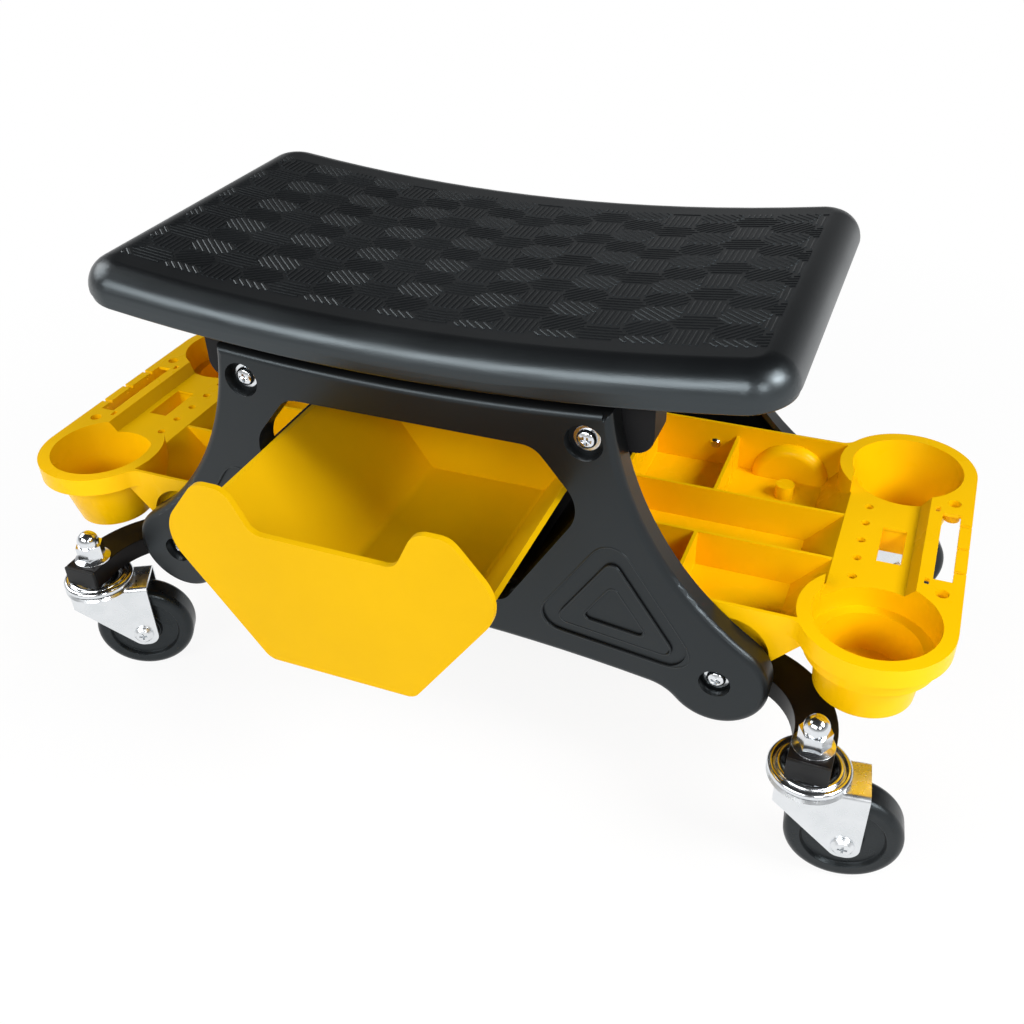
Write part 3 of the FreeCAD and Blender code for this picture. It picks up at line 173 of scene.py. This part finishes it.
def camera():
    cos_el = math.cos(CAMERA_ELEVATION)
    back = Vector((math.sin(CAMERA_AZIMUTH) * cos_el, -math.cos(CAMERA_AZIMUTH) * cos_el,
                   math.sin(CAMERA_ELEVATION)))
    level = Vector((math.cos(CAMERA_AZIMUTH), math.sin(CAMERA_AZIMUTH), 0))
    above = back.cross(level)
    right = level * math.cos(CAMERA_ROLL) + above * math.sin(CAMERA_ROLL)
    up = above * math.cos(CAMERA_ROLL) - level * math.sin(CAMERA_ROLL)
    bpy.ops.object.camera_add()
    view = bpy.context.object
    view.name = "camera"
    view.matrix_world = Matrix.Translation(CAMERA_PLACE) @ Matrix((right, up, back)).transposed().to_4x4()
    view.data.lens = CAMERA_LENS
    view.data.sensor_width = SENSOR_WIDTH
    view.data.clip_start = 0.01
    bpy.context.scene.camera = view


def softbox(name, place, width, height, power):
    bpy.ops.object.light_add(type="AREA", location=place)
    lamp = bpy.context.object
    lamp.name = name
    lamp.data.shape = "RECTANGLE"
    lamp.data.size = width
    lamp.data.size_y = height
    lamp.data.energy = power
    aim = Vector(LIGHT_TARGET) - Vector(place)
    lamp.rotation_euler = aim.to_track_quat("-Z", "Y").to_euler()


def studio():
    scene = bpy.context.scene
    scene.view_settings.view_transform = "Standard"
    world = bpy.data.worlds.new("studio")
    scene.world = world
    world.use_nodes = True
    tree = world.node_tree
    tree.nodes.clear()
    where = tree.nodes.new("ShaderNodeTexCoord")
    split = tree.nodes.new("ShaderNodeSeparateXYZ")
    ramp = tree.nodes.new("ShaderNodeValToRGB")
    light = tree.nodes.new("ShaderNodeBackground")
    out = tree.nodes.new("ShaderNodeOutputWorld")
    for element, (position, colour) in zip(ramp.color_ramp.elements, (SKY_LOW, SKY_HIGH)):
        element.position = position
        element.color = colour
    light.inputs["Strength"].default_value = SKY_STRENGTH
    tree.links.new(where.outputs["Generated"], split.inputs[0])
    tree.links.new(split.outputs["Z"], ramp.inputs[0])
    tree.links.new(ramp.outputs[0], light.inputs["Color"])
    tree.links.new(light.outputs[0], out.inputs["Surface"])
    for lamp in SOFTBOXES:
        softbox(*lamp)


def floor():
    """A floor that looks white to the camera and in reflections, and keeps a faint shadow near the part."""
    bpy.ops.mesh.primitive_plane_add(size=FLOOR_SIZE)
    ground = bpy.context.object
    ground.name = "floor"
    finish = bpy.data.materials.new("pale_floor")
    finish.use_nodes = True
    tree = finish.node_tree
    tree.nodes.clear()
    matte = tree.nodes.new("ShaderNodeBsdfDiffuse")
    matte.inputs["Color"].default_value = FLOOR_GREY
    glow = tree.nodes.new("ShaderNodeEmission")
    rays = tree.nodes.new("ShaderNodeLightPath")
    either = tree.nodes.new("ShaderNodeMath")
    either.operation = "MAXIMUM"
    any_ray = tree.nodes.new("ShaderNodeMath")
    any_ray.operation = "MAXIMUM"
    where = tree.nodes.new("ShaderNodeTexCoord")
    near = tree.nodes.new("ShaderNodeTexGradient")
    near.gradient_type = "SPHERICAL"
    white = tree.nodes.new("ShaderNodeMath")
    white.operation = "MULTIPLY_ADD"
    white.inputs[1].default_value = -SHADOW_SHARE
    white.inputs[2].default_value = 1.0
    share = tree.nodes.new("ShaderNodeMath")
    share.operation = "MULTIPLY"
    mix = tree.nodes.new("ShaderNodeMixShader")
    out = tree.nodes.new("ShaderNodeOutputMaterial")
    link = tree.links.new
    link(rays.outputs["Is Camera Ray"], either.inputs[0])
    link(rays.outputs["Is Glossy Ray"], either.inputs[1])
    link(either.outputs[0], any_ray.inputs[0])
    link(rays.outputs["Is Transmission Ray"], any_ray.inputs[1])
    link(where.outputs["Object"], near.inputs["Vector"])
    link(near.outputs["Fac"], white.inputs[0])
    link(any_ray.outputs[0], share.inputs[0])
    link(white.outputs[0], share.inputs[1])
    link(share.outputs[0], mix.inputs[0])
    link(matte.outputs[0], mix.inputs[1])
    link(glow.outputs[0], mix.inputs[2])
    link(mix.outputs[0], out.inputs["Surface"])
    paint(ground, finish)


# Finishes

def grain_group():
    """Fine moulding grain and broad mottling, shared by the plastics and the paint."""
    tree = bpy.data.node_groups.new("moulded_grain", "ShaderNodeTree")
    face = tree.interface
    face.new_socket("Vector", in_out="INPUT", socket_type="NodeSocketVector")
    face.new_socket("Grain Scale", in_out="INPUT", socket_type="NodeSocketFloat")
    face.new_socket("Mottle Scale", in_out="INPUT", socket_type="NodeSocketFloat")
    face.new_socket("Height", in_out="OUTPUT", socket_type="NodeSocketFloat")
    face.new_socket("Mottle", in_out="OUTPUT", socket_type="NodeSocketFloat")
    given = tree.nodes.new("NodeGroupInput")
    out = tree.nodes.new("NodeGroupOutput")
    fine = tree.nodes.new("ShaderNodeTexNoise")
    fine.inputs["Detail"].default_value = 3
    cells = tree.nodes.new("ShaderNodeTexVoronoi")
    cells.feature = "SMOOTH_F1"
    broad = tree.nodes.new("ShaderNodeTexNoise")
    broad.inputs["Detail"].default_value = 4
    both = tree.nodes.new("ShaderNodeMath")
    both.operation = "MULTIPLY_ADD"
    both.inputs[1].default_value = 0.6
    link = tree.links.new
    for noise, scale in ((fine, "Grain Scale"), (cells, "Grain Scale"), (broad, "Mottle Scale")):
        link(given.outputs["Vector"], noise.inputs["Vector"])
        link(given.outputs[scale], noise.inputs["Scale"])
    link(cells.outputs["Distance"], both.inputs[0])
    link(fine.outputs[0], both.inputs[2])
    link(both.outputs[0], out.inputs["Height"])
    link(broad.outputs[0], out.inputs["Mottle"])
    return tree


GRAIN = grain_group()
MOTTLE_LOW = 0.3
MOTTLE_HIGH = 0.7


def finish(name, dark, light, rough, grain, mottle, depth, metallic=0.0, specular=0.5, tint=(1, 1, 1)):
    """A finish whose colour and roughness drift between two values, with a fine moulded or rolled grain."""
    made = bpy.data.materials.new(name)
    made.use_nodes = True
    tree = made.node_tree
    tree.nodes.clear()
    new, link = tree.nodes.new, tree.links.new
    out = new("ShaderNodeOutputMaterial")
    shade = new("ShaderNodeBsdfPrincipled")
    where = new("ShaderNodeTexCoord")
    texture = new("ShaderNodeGroup")
    texture.node_tree = GRAIN
    texture.inputs["Grain Scale"].default_value = grain
    texture.inputs["Mottle Scale"].default_value = mottle
    colours = new("ShaderNodeValToRGB")
    colours.color_ramp.elements[0].position = MOTTLE_LOW
    colours.color_ramp.elements[0].color = (*dark, 1)
    colours.color_ramp.elements[1].position = MOTTLE_HIGH
    colours.color_ramp.elements[1].color = (*light, 1)
    spread = new("ShaderNodeMapRange")
    spread.inputs["From Min"].default_value = MOTTLE_LOW
    spread.inputs["From Max"].default_value = MOTTLE_HIGH
    spread.inputs["To Min"].default_value = rough[0]
    spread.inputs["To Max"].default_value = rough[1]
    bump = new("ShaderNodeBump")
    bump.inputs["Strength"].default_value = 1.0
    bump.inputs["Distance"].default_value = depth
    shade.inputs["Metallic"].default_value = metallic
    shade.inputs["Specular IOR Level"].default_value = specular
    shade.inputs["Specular Tint"].default_value = (*tint, 1)
    link(where.outputs["Object"], texture.inputs["Vector"])
    link(texture.outputs["Mottle"], colours.inputs[0])
    link(texture.outputs["Mottle"], spread.inputs["Value"])
    link(texture.outputs["Height"], bump.inputs["Height"])
    link(colours.outputs[0], shade.inputs["Base Color"])
    link(spread.outputs[0], shade.inputs["Roughness"])
    link(bump.outputs[0], shade.inputs["Normal"])
    link(shade.outputs[0], out.inputs["Surface"])
    return made


# Painted cool light: a bluish tint on the reflections of the black seat, panels and wheels, standing in for a cool
# colour of the lamps.
COOL_LIGHT_TINT = (0.80, 0.93, 1.0)
SEAT_BLACK = finish("seat_black", (0.0024, 0.0026, 0.0030), (0.0040, 0.0043, 0.0048), (0.30, 0.37),
                    1500, 14, 0.00003, specular=0.85, tint=COOL_LIGHT_TINT)
PANEL_BLACK = finish("panel_black", (0.0052, 0.0055, 0.0059), (0.0078, 0.0082, 0.0087), (0.30, 0.38),
                     1900, 11, 0.00003, specular=0.42, tint=COOL_LIGHT_TINT)
RAIL_BLACK = finish("rail_black", (0.0045, 0.0045, 0.005), (0.007, 0.007, 0.008), (0.5, 0.6), 1700, 16, 0.00003,
                    specular=0.2)
TUBE_BLACK = finish("tube_black", (0.0045, 0.0035, 0.0035), (0.007, 0.006, 0.006), (0.3, 0.4),
                    650, 22, 0.00003, specular=0.12)
PLUG_BLACK = finish("plug_black", (0.008, 0.0083, 0.0088), (0.014, 0.0144, 0.015), (0.44, 0.56),
                    1500, 40, 0.00004, specular=0.25)
WHEEL_BLACK = finish("wheel_black", (0.004, 0.0045, 0.005), (0.011, 0.0118, 0.0125), (0.22, 0.42),
                     900, 60, 0.00006, specular=0.36, tint=COOL_LIGHT_TINT)
# Painted shade: the drawer's yellow is set darker than the trays' to make up for the stronger front light on its
# front plate; the trays' yellow is the plastic's own colour.
DRAWER_YELLOW_PAINTED_SHADE = finish("drawer_yellow_painted_shade", (0.70, 0.402, 0.001), (0.745, 0.432, 0.0015), (0.40, 0.48),
                       1800, 12, 0.00003, specular=0.06)
TRAY_YELLOW = finish("tray_yellow", (0.88, 0.498, 0.001), (0.94, 0.536, 0.0015), (0.24, 0.34),
                     1300, 12, 0.00002, specular=0.1)
ZINC = finish("zinc_plate", (0.72, 0.75, 0.78), (0.84, 0.86, 0.88), (0.12, 0.22), 420, 55, 0.000006, metallic=1.0)
ZINC_PRESSED = finish("zinc_pressed", (0.74, 0.77, 0.79), (0.82, 0.84, 0.86), (0.22, 0.34),
                      520, 70, 0.000006, metallic=1.0)


# Pieces whose form follows the frame: merged, with every hard edge broken by a small round

HARD_EDGE = math.radians(30)
FLAT_EDGE = math.radians(0.6)


def dressed(node, edge, finish_used, body=FRAME_BODY, cutter=None):
    """A copy of a node's form with its hard edges rounded by this much and, if given, a recess cut in."""
    piece = NODES[node].copy()
    piece.data = NODES[node].data.copy()
    for key in list(piece.keys()):
        del piece[key]
    piece.name = node + "_piece"
    bpy.context.scene.collection.objects.link(piece)
    piece.parent = None
    piece.matrix_world = Matrix.Identity(4)
    piece.hide_render = False
    edit(piece)
    bpy.ops.mesh.select_all(action="SELECT")
    bpy.ops.mesh.remove_doubles(threshold=0.00002)
    bpy.ops.mesh.dissolve_limited(angle_limit=FLAT_EDGE, use_dissolve_boundaries=False)
    bpy.ops.mesh.normals_make_consistent(inside=False)
    bpy.ops.object.mode_set(mode="OBJECT")
    if edge:
        modify(piece, "BEVEL", width=edge * MM, segments=2, limit_method="ANGLE",
               angle_limit=HARD_EDGE, use_clamp_overlap=True, harden_normals=False)
    if cutter:
        modify(piece, "BOOLEAN", operation="DIFFERENCE", solver="MANIFOLD", object=cutter)
        bpy.data.objects.remove(cutter)
    activate(piece)
    bpy.ops.object.shade_smooth_by_angle(angle=HARD_EDGE)
    modify(piece, "WEIGHTED_NORMAL", keep_sharp=True)
    stand_for(piece, [node], body, finish_used)


# Race caps of the swivels: a rolled outer ring, a groove and a dished middle

CAP_OUTLINE = [
    (12.4, 83.6), (12.4, 85.2), (14.6, 85.2), (15.6, 85.8), (17.4, 87.9), (18.2, 88.6), (19.2, 89.0), (20.4, 88.9),
    (21.2, 88.3), (21.7, 87.5), (22.2, 87.6), (22.8, 88.4), (23.7, 88.9), (24.8, 88.8), (25.9, 88.1), (26.5, 87.0),
    (26.6, 85.8), (26.1, 84.6), (25.2, 83.9), (24.0, 83.6), (12.4, 83.6),
]
RING_STEPS = 72


def turned(name, outline):
    """A ring drawn out loop by loop along its outline, each point a radius and a height."""
    radius, height = outline[0]
    bpy.ops.mesh.primitive_circle_add(vertices=RING_STEPS, radius=radius * MM, location=(0, 0, height * MM))
    piece = bpy.context.object
    piece.name = name
    activate(piece)
    bpy.ops.object.transform_apply(location=True, rotation=True, scale=True)
    edit(piece)
    bpy.ops.mesh.select_mode(type="EDGE")
    bpy.ops.mesh.select_all(action="SELECT")
    for wider, higher in outline[1:]:
        bpy.ops.mesh.extrude_region_move(TRANSFORM_OT_translate={"value": (0, 0, (higher - height) * MM)})
        grown = wider / radius
        bpy.ops.transform.resize(value=(grown, grown, 1), center_override=(0, 0, higher * MM))
        radius, height = wider, higher
    return settle(piece, angle=50)


def race_caps():
    model = turned("race_cap", CAP_OUTLINE)
    made = []
    for corner, ((x, y), _) in CASTERS.items():
        made.append(placed_copy(model, "cap_" + corner, Matrix.Translation((x * MM, y * MM, 0))))
    bpy.data.objects.remove(model)
    stand_for(joined(made, "race_cap_rings"), ["race_caps"], FRAME_BODY, ZINC)


# Sleeves below the tool holes of the trays

SLEEVE_WALL = 1.1
# Each kind with its bore, lower and upper end, and the places of its copies in the right tray
SLEEVE_KINDS = [
    ("tool", 3.05, 146, 157.4, [(276.8, step * 21.07) for step in range(-2, 3)]),
    ("end", 4.45, 155, 166, [(332.5, side * 52.7) for side in (-1, 1)]),
]


def hole_sleeves():
    made = {1: [], -1: []}
    for kind, radius, low, high, places in SLEEVE_KINDS:
        outer = radius + SLEEVE_WALL
        model = turned("sleeve", [(radius, low), (radius, high), (outer, high), (outer, low), (radius, low)])
        for turn, pieces in made.items():
            for index, (x, y) in enumerate(places):
                place = Matrix.Translation((turn * x * MM, turn * y * MM, 0))
                pieces.append(placed_copy(model, f"{kind}_sleeve_{turn}_{index}", place))
        bpy.data.objects.remove(model)
    add_trim(joined(made[1], "hole_sleeves_right"), TRAY_YELLOW)
    add_trim(joined(made[-1], "hole_sleeves_left"), TRAY_YELLOW)


# Walls below the pockets of the tray decks

POCKET_MIDDLE = 297.2
POCKET_LENGTH = 16
POCKET_WIDTH = 40
POCKET_WALL = 1.5
POCKET_LOW = 139.4
DECK_UNDER = 157.4


def pocket_walls():
    long = (POCKET_LENGTH + 2 * POCKET_WALL) * MM
    wide = (POCKET_WIDTH + 2 * POCKET_WALL) * MM
    bpy.ops.mesh.primitive_cube_add(size=1, scale=(long, wide, (DECK_UNDER - POCKET_LOW) * MM),
                                    location=(POCKET_MIDDLE * MM, 0, (DECK_UNDER + POCKET_LOW) / 2 * MM))
    model = bpy.context.object
    activate(model)
    bpy.ops.object.transform_apply(location=True, rotation=True, scale=True)
    edit(model)
    choose(model, "FACE", lambda face: abs(face.normal.z) > 0.9)
    bpy.ops.mesh.inset(thickness=POCKET_WALL * MM)
    bpy.ops.mesh.bridge_edge_loops()
    settle(model)
    for name, turn in (("pocket_walls_right", 1), ("pocket_walls_left", -1)):
        add_trim(placed_copy(model, name, Matrix.Diagonal((turn, turn, 1, 1))), TRAY_YELLOW)
    bpy.data.objects.remove(model)


# Rounded lips of the embossed triangles in the side panels

EMBOSS_MIDDLE = (140, 154)
EMBOSS_CORNERS = [(-3.3, 64.7), (-60.1, -21.1), (64.7, -36.3)]
EMBOSS_RINGS = [(1, 15), (0.68, 6), (0.38, 4.5)]
LIP_RADIUS = 0.9
LIP_DEPTH = 127.95


def emboss_lip(share, rounding):
    """A round lip along one triangle of the right-hand emboss of the front panel."""
    corners = [Vector((EMBOSS_MIDDLE[0] + share * x, EMBOSS_MIDDLE[1] + share * z)) * MM for x, z in EMBOSS_CORNERS]
    bpy.ops.mesh.primitive_circle_add(vertices=3, radius=0.01)
    piece = bpy.context.object
    starts = [point.co.copy() for point in piece.data.vertices]
    edit(piece)
    for start, corner in zip(starts, corners):
        choose(piece, "VERT", lambda co: (co - start).length < 0.0001)
        goal = Vector((corner.x, -LIP_DEPTH * MM, corner.y))
        bpy.ops.transform.translate(value=goal - start)
    for index, corner in enumerate(corners):
        one = (corners[index - 1] - corner).normalized()
        two = (corners[(index + 1) % 3] - corner).normalized()
        run = rounding * MM / math.tan(one.angle(two) / 2)
        goal = Vector((corner.x, -LIP_DEPTH * MM, corner.y))
        choose(piece, "VERT", lambda co: (co - goal).length < 0.0001)
        bpy.ops.mesh.bevel(affect="VERTICES", offset_type="WIDTH", offset=2 * run * math.sin(one.angle(two) / 2),
                           segments=8, profile=0.5)
    bpy.ops.object.mode_set(mode="OBJECT")
    activate(piece)
    bpy.ops.object.convert(target="CURVE")
    piece.data.bevel_depth = LIP_RADIUS * MM
    piece.data.bevel_resolution = 3
    bpy.ops.object.convert(target="MESH")
    return settle(bpy.context.object)


def emboss_lips():
    model = joined([emboss_lip(share, rounding) for share, rounding in EMBOSS_RINGS], "emboss_lip")
    made = []
    for index, (x, y) in enumerate(((1, 1), (-1, 1), (1, -1), (-1, -1))):
        made.append(placed_copy(model, f"emboss_{index}", Matrix.Diagonal((x, y, 1, 1))))
    bpy.data.objects.remove(model)
    add_trim(settle(joined(made, "emboss_lips")), PANEL_BLACK)


# Smooth strips along the rounded top edges of the side panels

TOP_CENTRE = 1775.7 * MM
TOP_ROUND_MIDDLE = Vector((0, -123.5, 290.7)) * MM
TOP_ROUND = 5.04 * MM
TOP_ROUND_INNER = 4.2 * MM
TOP_ROUND_REACH = 129.5
TOP_ROUND_RUN = 1485
TOP_ROUND_HALF = math.asin(TOP_ROUND_REACH / TOP_ROUND_RUN)


def panel_rounds():
    """A quarter ring drawn along the top of the front panel, and its copy on the rear one."""
    bpy.ops.mesh.primitive_circle_add(vertices=64, radius=TOP_ROUND, location=TOP_ROUND_MIDDLE,
                                      rotation=(0, math.radians(90), 0))
    front = bpy.context.object
    front.name = "panel_round_front"
    activate(front)
    bpy.ops.object.transform_apply(location=True, rotation=True, scale=True)
    edit(front)
    slack = 0.01 * MM
    choose(front, "VERT", lambda co: co.y > TOP_ROUND_MIDDLE.y + slack or co.z < TOP_ROUND_MIDDLE.z - slack)
    bpy.ops.mesh.delete(type="VERT")
    bpy.ops.mesh.select_mode(type="EDGE")
    bpy.ops.mesh.select_all(action="SELECT")
    bpy.ops.mesh.extrude_region_move(TRANSFORM_OT_translate={"value": (0, 0, 0)})
    inner = TOP_ROUND_INNER / TOP_ROUND
    bpy.ops.transform.resize(value=(1, inner, inner), center_override=TOP_ROUND_MIDDLE)
    bpy.ops.object.mode_set(mode="OBJECT")
    centre = Matrix.Translation((0, 0, TOP_CENTRE))
    front.data.transform(centre @ Matrix.Rotation(TOP_ROUND_HALF, 4, "Y") @ centre.inverted())
    edit(front)
    bpy.ops.mesh.select_all(action="SELECT")
    bpy.ops.mesh.spin(steps=96, angle=2 * TOP_ROUND_HALF, center=(0, 0, TOP_CENTRE), axis=(0, 1, 0))
    settle(front)
    rear = placed_copy(front, "panel_round_rear", Matrix.Rotation(math.radians(180), 4, "Z"))
    for piece in (front, rear):
        add_trim(piece, PANEL_BLACK)


# Cross recesses of the screw heads

CROSS_LENGTH = 7.6 * MM
CROSS_WIDTH = 1.7 * MM
CROSS_DEPTH = 4.6 * MM
CROSS_BOTTOM = (0.6, 0.7, 1)
CROSS_LEAN = (0.25, 0.1)
HEAD_FACE = 126.3 * MM
UPPER_HEADS = (0.1184, 0.2796)
LOWER_HEADS = (0.2086, 0.1164)
AXLE_FACE = 20.1 * MM
AXLE_HEIGHT = 37.5 * MM
TRAIL = 27 * MM


def cross_cutter():
    """Two blades through one another, narrowing to the bottom of the recess, about a head's face."""
    blades = []
    for turn in (0, 90):
        bpy.ops.mesh.primitive_cube_add(size=1, scale=(CROSS_LENGTH, CROSS_WIDTH, CROSS_DEPTH))
        blade = bpy.context.object
        edit(blade)
        choose(blade, "FACE", lambda face: face.normal.z < -0.9)
        bpy.ops.transform.resize(value=CROSS_BOTTOM)
        bpy.ops.mesh.select_all(action="SELECT")
        bpy.ops.transform.rotate(value=math.radians(turn), orient_axis="Z", center_override=(0, 0, 0))
        blades.append(settle(blade))
    modify(blades[0], "BOOLEAN", operation="UNION", solver="EXACT", object=blades[1])
    bpy.data.objects.remove(blades[1])
    return blades[0]


def cutters(name, places):
    """Copies of the cross cutter at head faces, each given as a place and the way the head looks."""
    made = []
    for index, (place, way) in enumerate(places):
        turn = Vector(way).to_track_quat("Z", "Y").to_matrix().to_4x4()
        made.append(placed_copy(CROSS, f"{name}_{index}", Matrix.Translation(place) @ turn))
    return joined(made, name)


def panel_heads(across, height):
    """Where the four heads at one height lie, two in each side panel."""
    lean_x, lean_z = CROSS_LEAN
    return [((x * across, y * HEAD_FACE, height), (lean_x, y, lean_z)) for x in (-1, 1) for y in (-1, 1)]


def axle_head(corner):
    """Where the head of a caster's axle bolt lies."""
    (x, y), heading = CASTERS[corner]
    along = math.radians(heading)
    way = Vector((math.sin(along), -math.cos(along), 0))
    wheel = Vector((x * MM + TRAIL * math.cos(along), y * MM + TRAIL * math.sin(along), AXLE_HEIGHT))
    return [(wheel + way * AXLE_FACE, way)]


# Raised hatching on the seat: rows of long six-sided cells, each filled with ridges in one of four directions

SEAT_MIDDLE = 330.7
SADDLE = 1453
CELL_LONG = 17.35
CELL_FLAT = 8.65
CELL_HIGH = 10.3
CELL_INSET = 0.9
COLUMN = 26
HATCH = 3.75
RIDGE_WIDTH = 3.3
RIDGE_HEIGHT = 0.8
RIDGE_TOP = 0.24
SHORTEST_RIDGE = 1.5
PATCH_X = 214
PATCH_Y = 105
COLUMNS = 19
ROWS = 15
FIRST_X = -222
SLANT_Y = 17
STRAIGHT_Y = 28
SLANT = 42


def ridge():
    """One ridge a metre long with sloping sides, half sunk in the plane at zero."""
    bpy.ops.mesh.primitive_cube_add(size=1, scale=(1, RIDGE_WIDTH * MM, RIDGE_HEIGHT * MM))
    piece = bpy.context.object
    edit(piece)
    choose(piece, "FACE", lambda face: face.normal.z > 0.9)
    bpy.ops.transform.resize(value=(1, RIDGE_TOP, 1))
    return settle(piece, angle=10)


def cell_sides(middle_x, middle_y):
    """The sides of a cell and of the whole patch, each as an outward direction and its reach."""
    slope = Vector((CELL_HIGH, CELL_LONG - CELL_FLAT)).normalized()
    middle = Vector((middle_x, middle_y))
    sides = []
    for x in (-1, 1):
        for y in (-1, 1):
            way = Vector((x * slope.x, y * slope.y))
            sides.append((way, way.dot(middle) + slope.x * CELL_LONG - CELL_INSET))
    for y in (-1, 1):
        sides.append((Vector((0, y)), y * middle_y + CELL_HIGH - CELL_INSET))
        sides.append((Vector((0, y)), PATCH_Y))
        sides.append((Vector((y, 0)), PATCH_X))
    return sides


def chord(start, way, sides):
    """The stretch of a line that lies inside all the sides."""
    low, high = -100.0, 100.0
    for out, reach in sides:
        speed = out.dot(way)
        left = reach - out.dot(start)
        if abs(speed) < 1e-9:
            if left < 0:
                return None
        elif speed > 0:
            high = min(high, left / speed)
        else:
            low = max(low, left / speed)
    return (low, high) if high - low > SHORTEST_RIDGE else None


def cell_chords(middle_x, middle_y, degrees):
    """The ridges of one cell, as middle, length and direction in plan."""
    turn = math.radians(degrees)
    way = Vector((math.cos(turn), math.sin(turn)))
    across = Vector((-way.y, way.x))
    sides = cell_sides(middle_x, middle_y)
    found = []
    for step in range(-5, 6):
        start = Vector((middle_x, middle_y)) + across * step * HATCH
        span = chord(start, way, sides)
        if span:
            found.append((start + way * (span[0] + span[1]) / 2, span[1] - span[0], turn))
    return found


def seat_ridges():
    """Copies of one ridge over the whole patch, laid on the saddle curve."""
    pattern = []
    for column in range(COLUMNS):
        straight = column % 2 == 1
        swapped = column % 4 in (0, 1)
        for row in range(-(ROWS // 2), ROWS // 2 + 1):
            even = row % 2 == 0
            if straight:
                degrees = 90 if even != swapped else 0
            else:
                degrees = -SLANT if even else SLANT
            middle_y = (STRAIGHT_Y if straight else SLANT_Y) + 2 * CELL_HIGH * row
            pattern += cell_chords(FIRST_X + COLUMN * column, middle_y, degrees)
    model = ridge()
    made = []
    for index, (middle, length, turn) in enumerate(pattern):
        rise = SEAT_MIDDLE + SADDLE - math.sqrt(SADDLE ** 2 - middle.x ** 2)
        tilt = math.asin(middle.x / SADDLE)
        place = Matrix.Translation((middle.x * MM, middle.y * MM, rise * MM))
        place = place @ Matrix.Rotation(-tilt, 4, "Y") @ Matrix.Rotation(turn, 4, "Z")
        place = place @ Matrix.Diagonal((length * MM, 1, 1, 1))
        made.append(placed_copy(model, f"ridge_{index}", place))
    bpy.data.objects.remove(model)
    add_trim(joined(made, "seat_hatching"), SEAT_BLACK)


camera()
studio()
floor()
CROSS = cross_cutter()
seat_ridges()
race_caps()
hole_sleeves()
pocket_walls()
emboss_lips()
panel_rounds()

PLAIN = [
    ("seat_top", 0, SEAT_BLACK, "black_plastic"),
    ("seat_base", 0.5, SEAT_BLACK, "black_plastic"),
    ("seat_rail_front", 0.8, RAIL_BLACK, "rail_plastic"),
    ("seat_rail_rear", 0.8, RAIL_BLACK, "rail_plastic"),
    ("chassis_tube_front", 2.5, TUBE_BLACK, "black_paint"),
    ("chassis_tube_rear", 2.5, TUBE_BLACK, "black_paint"),
    ("tube_plugs", 0.8, PLUG_BLACK, "black_plastic"),
    ("leg_hubs", 0.8, PANEL_BLACK, "black_plastic"),
    ("dome_nuts", 0.5, ZINC, "zinc"),
    ("upper_washers", 0.3, ZINC, "zinc"),
    ("lower_washers", 0.3, ZINC, "zinc"),
    ("tray_right", 0.9, TRAY_YELLOW, "yellow_plastic"),
    ("tray_left", 0.9, TRAY_YELLOW, "yellow_plastic"),
    ("drawer_runner_left", 0.6, RAIL_BLACK, "rail_plastic"),
    ("drawer_runner_right", 0.6, RAIL_BLACK, "rail_plastic"),
    ("drawer_guide_left", 0.6, RAIL_BLACK, "rail_plastic"),
    ("drawer_guide_right", 0.6, RAIL_BLACK, "rail_plastic"),
    ("cross_tube_left", 0.3, TUBE_BLACK, "black_paint"),
    ("cross_tube_right", 0.3, TUBE_BLACK, "black_paint"),
    ("caster_stems", 0.3, ZINC, "zinc"),
]
for node, edge, finish_used, slot in PLAIN:
    dressed(node, edge, finish_used)
for node in ("side_panel_front", "side_panel_rear"):
    paint(NODES[node], PANEL_BLACK)
dressed("upper_bolts", 0.3, ZINC, cutter=cutters("upper_crosses", panel_heads(*UPPER_HEADS)))
dressed("lower_bolts", 0.3, ZINC, cutter=cutters("lower_crosses", panel_heads(*LOWER_HEADS)))
dressed("drawer", 1.1, DRAWER_YELLOW_PAINTED_SHADE, "drawer")
for corner in CASTERS:
    dressed("fork_" + corner, 0.9, ZINC_PRESSED, "caster_" + corner)
    dressed("axle_bolt_" + corner, 0.3, ZINC_PRESSED, "caster_" + corner,
            cutter=cutters("axle_cross_" + corner, axle_head(corner)))
    dressed("axle_nut_" + corner, 0.4, ZINC, "caster_" + corner)
    dressed("wheel_" + corner, 0.4, WHEEL_BLACK, "rolling_wheel_" + corner)
for node in ("seat_screws", "cross_tube_inserts", "tray_screws"):
    paint(NODES[node], ZINC)
for corner in CASTERS:
    paint(NODES["wheel_bush_" + corner], ZINC)

bpy.data.objects.remove(CROSS)
